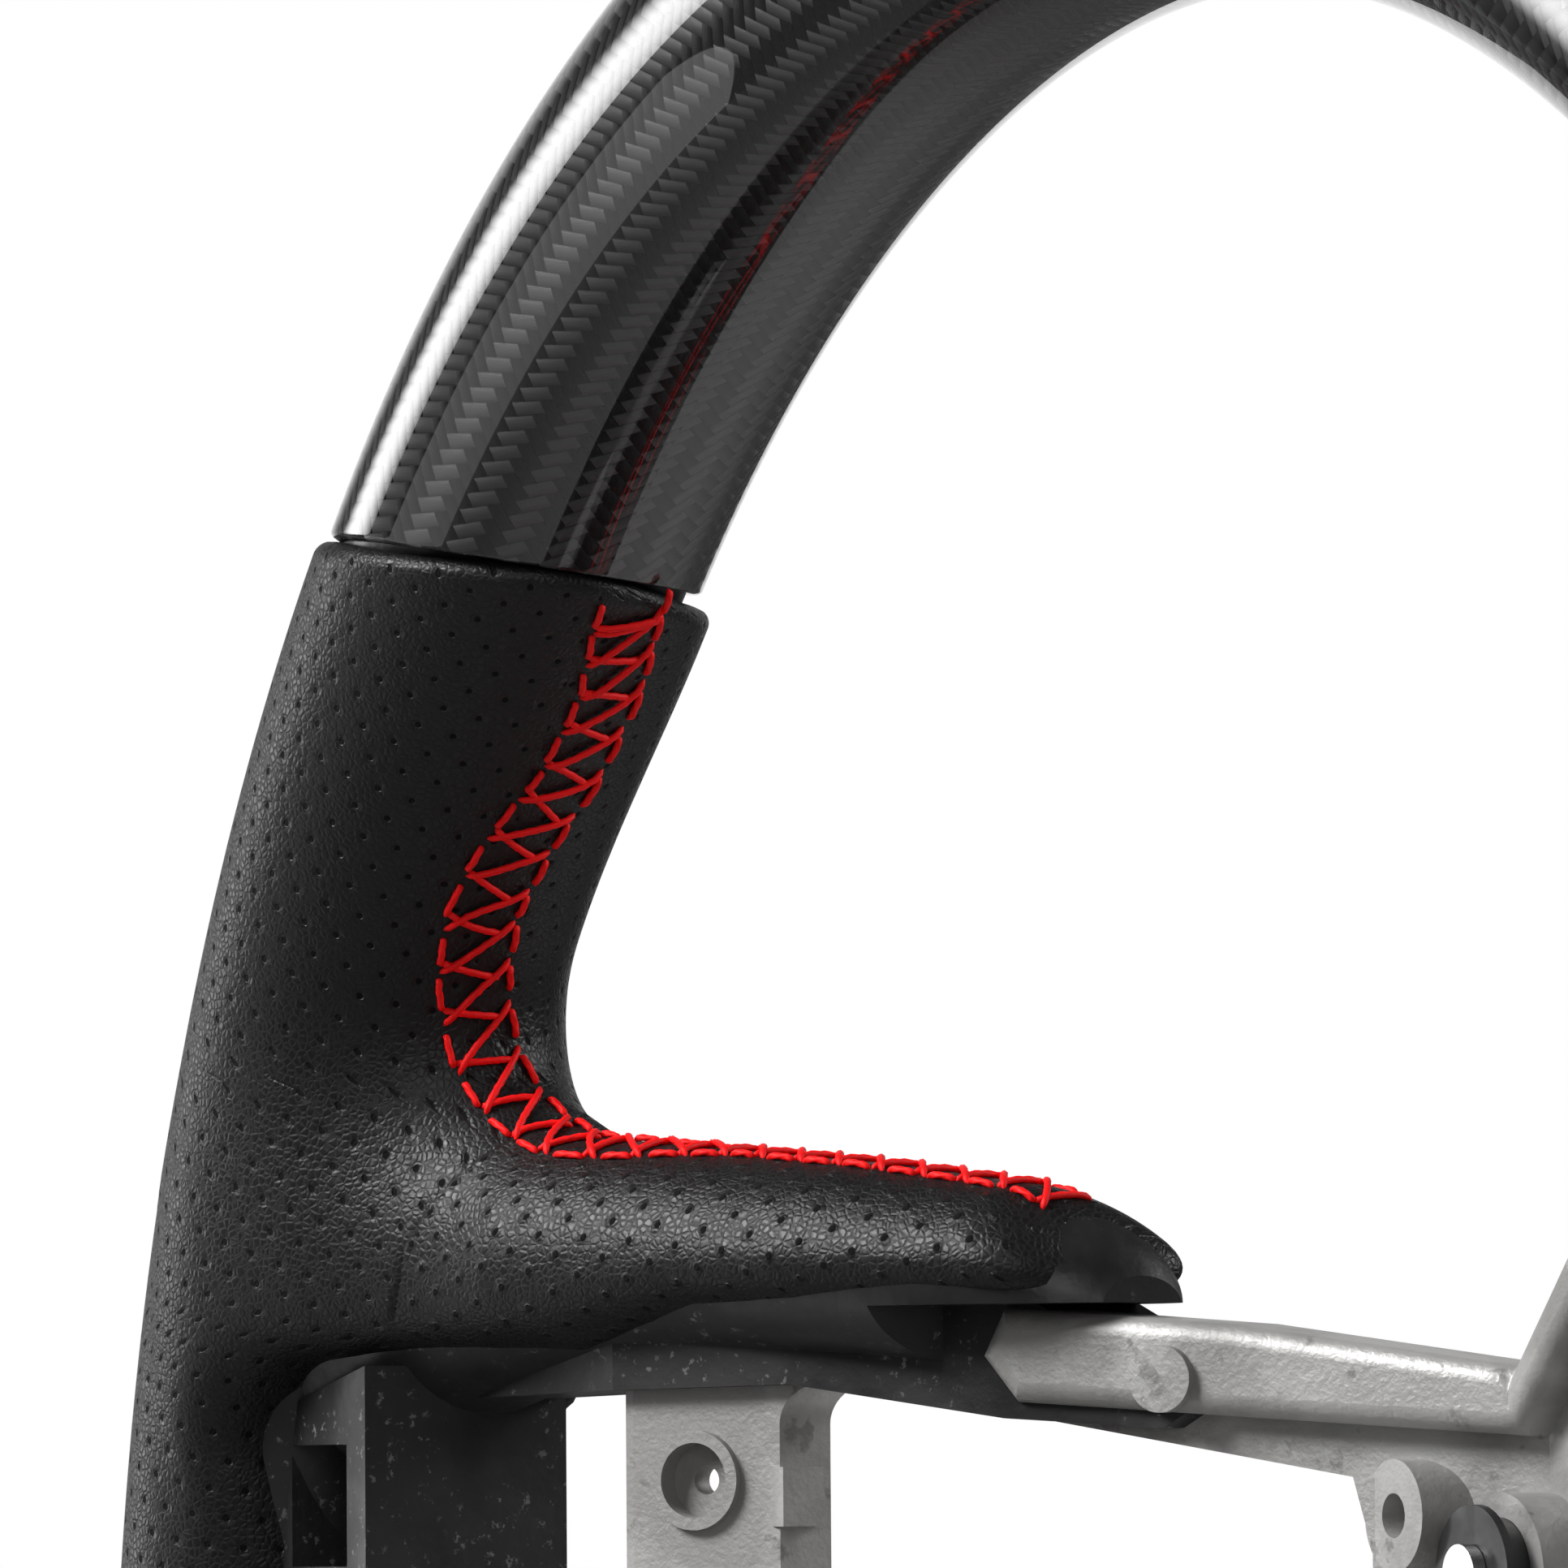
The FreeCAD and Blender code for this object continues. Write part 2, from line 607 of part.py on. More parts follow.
def retaining_ring():
    """Open snap ring that stops the collar."""
    ring = round_on_plate(0, 0, sleeve + 4.0, ring_y + 0.05, ring_y + 1.45)
    ring = ring.cut(round_on_plate(0, 0, ring_groove + 0.02, ring_y - 1.0, ring_y + 2.0))
    return ring.cut(Part.makeBox(7.0, 3.0, 30.0, V(-3.5, ring_y - 1.0, -30.0)))


def rubber_buffer():
    """Rubber washer on the socket's floor that the spindle presses against."""
    washer = doc.addObject("Part::Cylinder", "buffer_disc")
    washer.setExpression("Radius", "Sizes.socket_radius - 0.5")
    washer.Height = 2.5
    hole = doc.addObject("Part::Cylinder", "buffer_hole")
    hole.Radius = 5.0
    hole.Height = 3.0
    along_y = FreeCAD.Rotation(V(1, 0, 0), -90)
    washer.Placement = FreeCAD.Placement(V(0, floor_y, 0), along_y)
    hole.Placement = FreeCAD.Placement(V(0, floor_y - 0.2, 0), along_y)
    ring = doc.addObject("Part::Cut", "rubber_buffer")
    ring.Base = washer
    ring.Tool = hole
    doc.recompute()
    return ring


def hub_screws():
    """Six M5 socket head screws that hold the hub to the casting."""
    head_y = flange_back - 3.2
    screws = []
    for x, z in screw_circle():
        screw = fused([
            round_on_plate(x, z, size["screw_radius"], size["dish"] + 0.5, head_y + 0.1),
            round_on_plate(x, z, 4.25, head_y, head_y + 3.0),
        ])
        corners = []
        for corner in range(6):
            turn = math.radians(60.0 * corner)
            corners.append((x + 1.7 * math.cos(turn), head_y + 1.2, z + 1.7 * math.sin(turn)))
        screws.append(screw.cut(plate_from(corners, (0, 5, 0))))
    return Part.makeCompound(screws)


collar_front = ring_y - size["fit_gap"] - size["collar_length"]

# --- Build -----------------------------------------------------------------

armature_solid = armature_shape()
steel_ring = rim_ring_shape()
foam_half = foam_left(225, 315)
foam_parts = [foam_arc(-45, 45), foam_arc(135, 225), foam_half, mirrored(foam_half)]
foam_parts = [solid.cut(armature_solid).cut(steel_ring) for solid in foam_parts]
leather_pieces = leather_shape().cut(armature_solid).Solids
leather_solid = max(leather_pieces, key=lambda piece: piece.Volume)
carbon_solid = carbon_shape()
edge_threads = edge_stitches()
cross_threads = lacing()

feature("armature", armature_solid)
feature("rim_ring", steel_ring)
feature("foam_core", Part.makeCompound(foam_parts))
feature("carbon_top", carbon_solid)
feature("carbon_bottom", upside_down(carbon_solid).cut(armature_solid))
feature("leather_left", leather_solid)
feature("leather_right", mirrored(leather_solid))
feature("edge_stitches_left", edge_threads)
feature("edge_stitches_right", mirrored(edge_threads))
feature("lacing_left", cross_threads)
feature("lacing_right", mirrored(cross_threads))
horn_guides()
feature("release_hub", hub_solid())
feature("release_collar", collar_solid())
feature("release_spring", wave_spring())
locking_balls()
feature("retaining_ring", retaining_ring())
keep(rubber_buffer(), "rubber_buffer")
feature("hub_screws", hub_screws())

doc.recompute()
problems = [item.Name for item in doc.Objects if "Invalid" in item.State or "Error" in item.State]
for item in outputs:
    if item.Shape.isNull() or not item.Shape.isValid():
        problems.append(item.Label)
if problems:
    raise RuntimeError("not built: " + ", ".join(problems))
os.makedirs("parts", exist_ok=True)
for item in outputs:
    item.Shape.exportStep("parts/" + item.Label + ".step")
    print(item.Label, len(item.Shape.Solids), "solids", round(item.Shape.Volume), "mm3")
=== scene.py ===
# %% [markdown]
# # A carbon and leather steering wheel on its bare casting
# The wheel is modelled the way it is made: a cast armature, black foam moulded over it,
# carbon shells at the top and bottom, and perforated leather laced on at the sides.
# The CAD frame brings the hard parts in their places. The soft and glossy skins are
# rebuilt here as smooth surfaces, so that the leather can swell and the
# reflections can run cleanly along the rim.

# %% Load the frame
import json
import math
import bmesh
import bpy
import numpy as np
from mathutils import Matrix, Vector

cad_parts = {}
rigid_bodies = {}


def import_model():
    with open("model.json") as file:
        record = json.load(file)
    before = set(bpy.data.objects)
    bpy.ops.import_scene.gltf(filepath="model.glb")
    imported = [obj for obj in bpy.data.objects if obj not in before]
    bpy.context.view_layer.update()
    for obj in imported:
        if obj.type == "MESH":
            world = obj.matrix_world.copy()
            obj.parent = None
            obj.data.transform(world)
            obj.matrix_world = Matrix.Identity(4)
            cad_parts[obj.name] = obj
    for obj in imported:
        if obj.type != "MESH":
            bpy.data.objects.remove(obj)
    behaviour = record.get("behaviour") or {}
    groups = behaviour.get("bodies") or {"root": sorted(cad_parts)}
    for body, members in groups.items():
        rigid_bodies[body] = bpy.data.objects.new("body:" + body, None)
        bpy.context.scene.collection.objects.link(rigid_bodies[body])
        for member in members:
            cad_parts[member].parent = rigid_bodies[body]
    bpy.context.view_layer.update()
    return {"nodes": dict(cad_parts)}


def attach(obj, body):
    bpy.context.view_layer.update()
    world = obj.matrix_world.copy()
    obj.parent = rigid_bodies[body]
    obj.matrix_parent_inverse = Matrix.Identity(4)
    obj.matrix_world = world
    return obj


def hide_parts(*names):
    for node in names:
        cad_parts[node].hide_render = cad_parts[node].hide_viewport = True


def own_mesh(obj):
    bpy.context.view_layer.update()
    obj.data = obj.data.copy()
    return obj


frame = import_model()

# %% [markdown]
# ## Camera
# The camera stands at the wheel's right front, a little below the spokes, and looks
# across the rim with a long lens. A long lens keeps the near and the far side of the
# rim close to the same size.

# %% Place the camera
camera_place = np.array([0.700, -0.4932, 0.033])
camera_turn, camera_rise, camera_roll = math.radians(63.1), math.radians(4.0), math.radians(-0.45)
ahead = np.array([
    -math.sin(camera_turn) * math.cos(camera_rise),
    math.cos(camera_turn) * math.cos(camera_rise),
    math.sin(camera_rise)])
level = np.array([math.cos(camera_turn), math.sin(camera_turn), 0.0])
above = np.cross(level, ahead)
right = math.cos(camera_roll) * level + math.sin(camera_roll) * above
up = math.cos(camera_roll) * above - math.sin(camera_roll) * level
camera_data = bpy.data.cameras.new("camera")
camera_data.sensor_width = 36.0
camera_data.lens = 234.0
camera = bpy.data.objects.new("camera", camera_data)
bpy.context.scene.collection.objects.link(camera)
pose = Matrix.Identity(4)
for column, values in enumerate((right, up, -ahead, camera_place)):
    for row in range(3):
        pose[row][column] = values[row]
camera.matrix_world = pose
bpy.context.scene.camera = camera
print("camera at", camera_place, "lens", camera_data.lens)

# %% [markdown]
# ## Mesh helpers
# Every skin is a grid of points, worked out as whole arrays. One helper turns a grid
# into a mesh, closes it round the section when asked, and writes a UV map in
# millimetres, so that a pattern of a known size can be laid on it.

# %% Grid to mesh
MM = 0.001
# The shapes below are drawn from the rim's centre; the frame counts from the socket's
# mouth, which lies this many millimetres in front of that centre.
SOCKET = np.array([0.0, 105.2, 0.0])


def mesh_from_arrays(name, vertices, faces):
    """Smooth-shaded mesh from points in millimetres and a list of face arrays, each
    array holding faces with one number of corners."""
    loops = np.concatenate([f.ravel() for f in faces])
    sizes = np.concatenate([np.full(len(f), f.shape[1]) for f in faces])
    starts = np.concatenate([[0], np.cumsum(sizes)[:-1]])
    mesh = bpy.data.meshes.new(name)
    mesh.vertices.add(len(vertices))
    mesh.vertices.foreach_set("co", ((vertices - SOCKET) * MM).astype(np.float32).ravel())
    mesh.loops.add(len(loops))
    mesh.loops.foreach_set("vertex_index", loops.astype(np.int32))
    mesh.polygons.add(len(sizes))
    mesh.polygons.foreach_set("loop_start", starts.astype(np.int32))
    mesh.polygons.foreach_set("use_smooth", np.ones(len(sizes), bool))
    mesh.update(calc_edges=True)
    return mesh


def grid_mesh(name, points, uv):
    """Closed tube from a grid of points (rows, columns, 3) in millimetres.
    Neighbouring grid points make quads, the last column is joined to the first, and the
    first and last row are closed with one centre point each. The volume is the sum of
    corner . (corner x corner) / 6 over the triangles, and where it comes out negative
    the faces are turned over, so that they always look outwards.
    uv holds (rows, columns + 1, 2) millimetres."""
    rows, columns = points.shape[:2]
    index = np.arange(rows * columns).reshape(rows, columns)
    following = np.roll(index, -1, axis=1)
    quads = np.stack([index[:-1], following[:-1], following[1:], index[1:]], -1).reshape(-1, 4)
    vertices = points.reshape(-1, 3)
    a, b, c, d = (vertices[quads[:, k]] for k in range(4))
    volume = (a * np.cross(b, c)).sum() + (a * np.cross(c, d)).sum()
    flip = volume < 0.0
    if flip:
        quads = quads[:, ::-1]
    centres = np.stack([points[0].mean(0), points[-1].mean(0)])
    vertices = np.concatenate([vertices, centres])
    first = np.stack([np.full(columns, rows * columns), following[0], index[0]], -1)
    last = np.stack([np.full(columns, rows * columns + 1), index[-1], following[-1]], -1)
    ends = np.concatenate([first, last])
    if flip:
        ends = ends[:, ::-1]
    faces = [quads, ends]
    mesh = mesh_from_arrays(name, vertices, faces)
    near, far = uv[:, :-1], uv[:, 1:]
    corners = np.stack([near[:-1], far[:-1], far[1:], near[1:]], 2).reshape(-1, 4, 2)
    if flip:
        corners = corners[:, ::-1]
    flat = corners.reshape(-1, 2)
    flat = np.concatenate([flat, np.zeros((len(mesh.loops) - len(flat), 2))])
    layer = mesh.uv_layers.new(name="skin")
    layer.data.foreach_set("uv", flat.astype(np.float32).ravel())
    mesh.validate()
    made = bpy.data.objects.new(name, mesh)
    bpy.context.scene.collection.objects.link(made)
    print(name, len(mesh.vertices), "points", len(mesh.polygons), "faces")
    return made


def other_side(points):
    """The same grid on the wheel's right side: X changes sign."""
    return points * np.array([-1.0, 1.0, 1.0])


def mounted(piece, body, slot_name, *nodes):
    """The piece rides on a body and stands for CAD nodes, which are hidden; slot_name is not used."""
    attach(piece, body)
    if nodes:
        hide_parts(*nodes)
    return piece


# %% [markdown]
# ## The shape under the leather
# The leather follows a moulded body: an oval rim, an arm that leaves it for the hub,
# and a hollow for the switch pod. Each is a distance formula that is zero on its
# surface. A soft minimum joins rim and arm with a fillet, and a soft maximum takes
# the hollow out with a rolled edge, as the hide rolls over the foam's corner.

# %% Distance formulas
RIM = 165.0
HALF_RADIAL, HALF_AXIAL = 14.6, 17.0
PROUD = 0.8
JOINT_SQUARE = np.array([0.146, 0.114, 0.983])
JOINT_HEIGHT = 96.3
HALF_GAP = 0.22


def soft_min(a, b, blend):
    """Smaller of a and b, rounded off where they are within `blend` of each other."""
    share = np.clip(0.5 + 0.5 * (b - a) / blend, 0.0, 1.0)
    return b + (a - b) * share - blend * share * (1.0 - share)


def soft_step(low, high, value):
    """0 below low, 1 above high, and a smooth S between them."""
    t = np.clip((value - low) / (high - low), 0.0, 1.0)
    return t * t * (3.0 - 2.0 * t)


ARM_PLACE = np.array([61.0, 90.0, 118.0, 138.0, 154.0])
ARM_DEPTH = np.array([38.0, 22.0, 9.0, 3.5, 1.0])
ARM_HEIGHT = np.array([49.5, 52.5, 53.5, 53.0, 51.0])
ARM_HALF_DEPTH = np.array([9.5, 11.5, 12.5, 13.5, 14.0])
ARM_HALF_HEIGHT = np.array([7.8, 9.5, 11.5, 16.0, 20.0])
LID_PLACE = np.array([-150.0, -136.0, -114.0, -100.0, -60.0])
LID_HEIGHT = np.array([45.2, 46.0, 45.6, 49.2, 50.2])


def rim_distance(x, y, z):
    """Oval ring: the radial and axial offsets are divided by the oval's half sizes."""
    angle = np.degrees(np.arctan2(-x, z))
    slim = soft_step(46.0, 60.0, angle) * (1.0 - soft_step(110.0, 130.0, angle))
    half_axial = HALF_AXIAL + PROUD + np.where(y > 0, 1.2 - 3.4 * slim, 0.0)
    half_radial = HALF_RADIAL + PROUD
    across = (np.hypot(x, z) - RIM) / half_radial
    along = y / half_axial
    return (np.sqrt(across ** 2 + along ** 2) - 1.0) * half_radial


def arm_distance(x, y, z):
    """Oval bar whose middle and half sizes change with the distance from the hub."""
    place = np.clip(-x, ARM_PLACE[0], ARM_PLACE[-1])
    half_height = np.interp(place, ARM_PLACE, ARM_HALF_HEIGHT)
    depth = (y - np.interp(place, ARM_PLACE, ARM_DEPTH)) / np.interp(place, ARM_PLACE, ARM_HALF_DEPTH)
    height = (z - np.interp(place, ARM_PLACE, ARM_HEIGHT)) / half_height
    bar = (np.sqrt(depth ** 2 + height ** 2) - 1.0) * half_height
    nose = x + 67.5 + 0.63 * (z - 50.0)
    root = -x - 150.0
    return -soft_min(-np.maximum(bar, root), -nose, 3.5)


def hollow_distance(x, y, z):
    """Rounded box for the switch pod, open towards the driver and the hub.
    Its lid is the leather's lower edge on the arm, so there it goes right through."""
    corner = 9.0
    side = np.maximum(-150.5 + corner - x, 0.0)
    lid = z - np.interp(x, LID_PLACE, LID_HEIGHT) + corner
    ends = np.maximum(np.maximum(lid, -31.0 + corner - z), 0.0)
    floor = y - 3.0 - 60.0 * soft_step(-137.0, -128.0, x)
    return np.maximum(np.hypot(side, ends) - corner, floor)


def leather_distance(x, y, z):
    """Rim joined to arm by a fillet, wide on the hub side and tight on the outside,
    less the pod's hollow."""
    fillet = 3.0 + 14.0 * soft_step(-168.0, -148.0, x)
    body = soft_min(rim_distance(x, y, z), arm_distance(x, y, z), fillet)
    return -soft_min(-body, hollow_distance(x, y, z), 5.0)


def march(start, way, reach):
    """How far along each ray `way` from `start` the leather is met, in millimetres.
    Steps outwards until the distance turns positive, then halves the last step."""
    far = np.zeros(start.shape[:-1])
    inside = np.ones(far.shape, bool)
    step = 0.5
    for count in range(int(70 / step)):
        place = start + way * (far + step)[..., None]
        value = leather_distance(place[..., 0], place[..., 1], place[..., 2])
        inside &= (value < 0.0) & (far + step < reach)
        far = np.where(inside, far + step, far)
    low, high = far, np.minimum(far + step, reach)
    for count in range(9):
        middle = 0.5 * (low + high)
        place = start + way * middle[..., None]
        value = leather_distance(place[..., 0], place[..., 1], place[..., 2])
        low = np.where(value < 0.0, middle, low)
        high = np.where(value < 0.0, high, middle)
    return 0.5 * (low + high)


# %% [markdown]
# ## Leather on the rim and on the arm
# Rays leave the rim's centreline in every direction of the section and stop on the
# leather. Where they run into the arm they stop at a plane, and a second grid, with
# its rays leaving the arm's own middle line, takes over from there.

# %% Leather surfaces
def joint_angle(radius, depth, height):
    """Angle round the rim, left of the top, where a circle of this radius and depth meets
    the slanted joint.  The plane gives radius * N * cos(angle - lean) = height - n_y * depth."""
    lean = math.atan2(JOINT_SQUARE[0], JOINT_SQUARE[2])
    spread = math.hypot(JOINT_SQUARE[0], JOINT_SQUARE[2])
    return lean - np.arccos((height - JOINT_SQUARE[1] * depth) / (radius * spread))


def oval_section(turn, half_radial, half_axial):
    """Radius and depth of the rim's oval section at the angle `turn` round the section."""
    return RIM - half_radial * np.cos(turn), -half_axial * np.sin(turn)


def shares(rows, close):
    """Shares of the way from 0 to 1 with `close` extra rows in the first and last 0.8%."""
    edge = np.linspace(0.0, 0.008, close, endpoint=False)
    return np.concatenate([edge, np.linspace(0.008, 0.992, rows - 2 * close), 1.0 - edge[::-1]])


ROWS, AROUND = 380, 176
sections = np.linspace(0.0, 2.0 * np.pi, AROUND, endpoint=False)
section_radius, section_depth = oval_section(sections, HALF_RADIAL + PROUD, HALF_AXIAL + PROUD)
first_angle = joint_angle(section_radius, section_depth, JOINT_HEIGHT - HALF_GAP)
last_angle = -math.pi - first_angle
angles = first_angle + (last_angle - first_angle) * shares(ROWS, 8)[:, None]
outward = np.stack([np.sin(angles), np.zeros(angles.shape), np.cos(angles)], -1)
centres = RIM * outward
rays = (
    -np.cos(sections)[None, :, None] * outward
    - np.sin(sections)[None, :, None] * np.array([0.0, 1.0, 0.0]))
# Rays that run into the arm stop at a tilted plane, g = x - 0.5 (z - 53) + 127 = 0.
CUT_SQUARE = np.array([1.0, 0.0, -0.5])
cut_value = centres @ CUT_SQUARE + 26.5 + 127.0
towards_cut = rays @ CUT_SQUARE
faces_arm = (towards_cut > 0.05) & (cut_value < 0.0) & (centres[..., 2] > 18.0)
reach = np.where(faces_arm, -cut_value / np.where(faces_arm, towards_cut, 1.0), 70.0)
lengths = march(centres, rays, reach)
from_joint = 0.8 * RIM * np.minimum(np.abs(angles - first_angle), np.abs(angles - last_angle))
roll_down = 1.6 * (1.0 - np.sqrt(1.0 - np.clip(1.0 - from_joint / 1.5, 0.0, 1.0) ** 2))
rim_leather = centres + rays * (lengths - roll_down)[..., None]
around = np.linalg.norm(np.roll(rim_leather, -1, axis=1) - rim_leather, axis=-1)
arc = np.concatenate([np.zeros((ROWS, 1)), np.cumsum(around, axis=1)], axis=1)
run = np.abs(np.concatenate([angles, angles[:, :1]], axis=1)) * 158.0
rim_uv = np.stack([arc, run], -1)

# The arm's rays start in that tilted plane and come upright by 25 mm nearer the hub.
ARM_ROWS, ARM_AROUND = 130, 128
arm_places = np.linspace(127.2, 66.0, ARM_ROWS)
arm_sections = np.linspace(0.0, 2.0 * np.pi, ARM_AROUND, endpoint=False)
middle = np.stack([
    -arm_places, np.interp(arm_places, ARM_PLACE, ARM_DEPTH),
    np.interp(arm_places, ARM_PLACE, ARM_HEIGHT) + 2.0], -1)
lean = 0.5 * soft_step(102.0, 127.0, arm_places)
upright = np.stack([lean, np.zeros(ARM_ROWS), np.ones(ARM_ROWS)], -1)
upright /= np.linalg.norm(upright, axis=-1, keepdims=True)
arm_centres = np.broadcast_to(middle[:, None, :], (ARM_ROWS, ARM_AROUND, 3))
arm_rays = (
    -np.sin(arm_sections)[None, :, None] * np.array([0.0, 1.0, 0.0])
    + np.cos(arm_sections)[None, :, None] * upright[:, None, :])
arm_lengths = march(arm_centres, arm_rays, np.full(arm_centres.shape[:2], 60.0))
arm_leather = arm_centres + arm_rays * arm_lengths[..., None]
arm_step = np.linalg.norm(np.roll(arm_leather, -1, axis=1) - arm_leather, axis=-1)
arm_arc = np.concatenate([np.zeros((ARM_ROWS, 1)), np.cumsum(arm_step, axis=1)], axis=1)
arm_run = np.broadcast_to((200.0 - arm_places * 1.15)[:, None], arm_arc.shape)
arm_uv = np.stack([arm_arc, arm_run], -1)

leather_pieces = []
for side_name, change in (("left", lambda p: p), ("right", other_side)):
    rim_piece = grid_mesh("leather_rim_" + side_name, change(rim_leather), rim_uv)
    arm_piece = grid_mesh("leather_arm_" + side_name, change(arm_leather), arm_uv)
    mounted(rim_piece, "wheel", "leather", "leather_" + side_name)
    mounted(arm_piece, "wheel", "leather")
    leather_pieces += [rim_piece, arm_piece]

# %% [markdown]
# ## Carbon shells
# Each shell is an oval swept round a quarter of the rim, with its end rolled inwards so
# that a fine dark groove is left beside the leather.

# %% Carbon surfaces
SHELL_ROWS, SHELL_AROUND = 300, 160
shell_sections = np.linspace(0.0, 2.0 * np.pi, SHELL_AROUND + 1)


def carbon_grid():
    """Oval section carried from the left joint to the right one over the top."""
    radius, depth = oval_section(shell_sections[:-1], HALF_RADIAL, HALF_AXIAL)
    end_angle = joint_angle(radius, depth, JOINT_HEIGHT + HALF_GAP)
    turn = end_angle - 2.0 * end_angle * shares(SHELL_ROWS, 8)[:, None]
    edge = 0.8 * RIM * np.minimum(np.abs(turn - end_angle), np.abs(turn + end_angle))
    shrink = 1.3 * (1.0 - np.sqrt(1.0 - np.clip(1.0 - edge / 0.7, 0.0, 1.0) ** 2))
    radius = RIM - (HALF_RADIAL - shrink) * np.cos(shell_sections[:-1])
    depth = -(HALF_AXIAL - shrink) * np.sin(shell_sections[:-1])
    points = np.stack([radius * np.sin(turn), depth, radius * np.cos(turn)], -1)
    speed = np.hypot(HALF_RADIAL * np.sin(shell_sections), HALF_AXIAL * np.cos(shell_sections))
    span = np.cumsum(speed) * (shell_sections[1] - shell_sections[0])
    along = np.concatenate([turn, turn[:, :1]], axis=1) * RIM
    uv = np.stack(np.broadcast_arrays(span[None, :], along), -1)
    return points, uv


carbon_pieces = []
shell_points, shell_uv = carbon_grid()
for shell_name, upright_sign in (("carbon_top", 1.0), ("carbon_bottom", -1.0)):
    turned = shell_points * np.array([1.0, 1.0, upright_sign])
    piece = grid_mesh(shell_name + "_shell", turned, shell_uv)
    mounted(piece, "wheel", "carbon", shell_name)
    carbon_pieces.append(piece)

# %% [markdown]
# ## The laced seam
# The two leather edges meet on the inner side of the rim and on top of the arm. The
# needle makes a short dash along each edge, then the thread crosses to the other edge:
# one long slanting thread and one short one between every pair of dashes. The seam's
# line is found on the leather itself, by rays from the middle of the hand opening.

# %% Seam line on the leather
def gradient(points):
    """Direction straight out of the leather: the distance's change per small step."""
    h = 0.2
    x, y, z = points[..., 0], points[..., 1], points[..., 2]
    slope = np.stack([
        leather_distance(x + h, y, z) - leather_distance(x - h, y, z),
        leather_distance(x, y + h, z) - leather_distance(x, y - h, z),
        leather_distance(x, y, z + h) - leather_distance(x, y, z - h)], -1)
    return slope / np.maximum(np.linalg.norm(slope, axis=-1, keepdims=True), 1e-9)


def onto_leather(points):
    """Points moved along the gradient until they lie on the leather."""
    for count in range(6):
        value = leather_distance(points[..., 0], points[..., 1], points[..., 2])
        points = points - gradient(points) * (value * 0.8)[..., None]
    return points


SEAM_HEIGHT = np.array([66.0, 73.0, 79.0, 85.0, 91.0, 97.0, 104.0, 112.0])
SEAM_DEPTH = np.array([4.8, 1.9, 0.2, -0.8, 0.9, 4.0, 5.2, 3.2])


def seam_depth(x, z):
    """Depth of the seam: it wanders a few millimetres about the rim's middle plane,
    and below the crotch it passes over to the ridge of the arm."""
    on_rim = np.interp(z, SEAM_HEIGHT, SEAM_DEPTH)
    on_arm = np.interp(-x, ARM_PLACE, ARM_DEPTH) + 0.8
    share = soft_step(-126.0, -102.0, x) * (1.0 - soft_step(66.0, 84.0, z))
    return on_rim + (on_arm - on_rim) * share


pivot = np.array([-84.0, 98.0])
sweep = np.radians(np.linspace(100.0, 290.5, 2600))
low, high = np.zeros(len(sweep)), np.full(len(sweep), 90.0)
for count in range(24):
    middle_way = 0.5 * (low + high)
    x = pivot[0] + middle_way * np.cos(sweep)
    z = pivot[1] + middle_way * np.sin(sweep)
    outside = leather_distance(x, seam_depth(x, z), z) > 0.0
    low, high = np.where(outside, middle_way, low), np.where(outside, high, middle_way)
x = pivot[0] + low * np.cos(sweep)
z = pivot[1] + low * np.sin(sweep)
line = np.stack([x, seam_depth(x, z), z], -1)
keep = (line @ JOINT_SQUARE < JOINT_HEIGHT - 0.8) & (low < 80.0) & (line[:, 2] > 51.5)
line = line[keep]
length = np.concatenate([[0.0], np.cumsum(np.linalg.norm(np.diff(line, axis=0), axis=1))])
print("seam is", round(length[-1]), "mm long, from", line[0].round(1), "to", line[-1].round(1))


def along_seam(run, across, lift):
    """Point at `run` mm along the seam, `across` mm to the back of it, `lift` mm off the leather."""
    def on_line(at):
        """Point of the seam's line; np.interp holds both ends."""
        return np.stack([np.interp(at, length, line[:, k]) for k in range(3)], -1)

    run = np.clip(run, 0.0, length[-1])
    base = on_line(run)
    tangent = on_line(run + 1.5) - on_line(run - 1.5)
    tangent = tangent / np.linalg.norm(tangent, axis=-1, keepdims=True)
    sideways = np.cross(gradient(base), tangent)
    sideways = sideways * np.sign(sideways[..., 1:2] + 1e-9)
    placed = onto_leather(base + sideways * np.asarray(across)[..., None])
    return placed + gradient(placed) * np.asarray(lift)[..., None]


# %% [markdown]
# ## Twisted thread
# Waxed sewing thread is three plies twisted together. Its section is three lobes, and
# the section turns as it is carried along the stitch. All stitches of one kind are one
# array: stitches, rings along each, points round each ring.

# %% Thread tubes
RINGS, ROUND = 15, 12


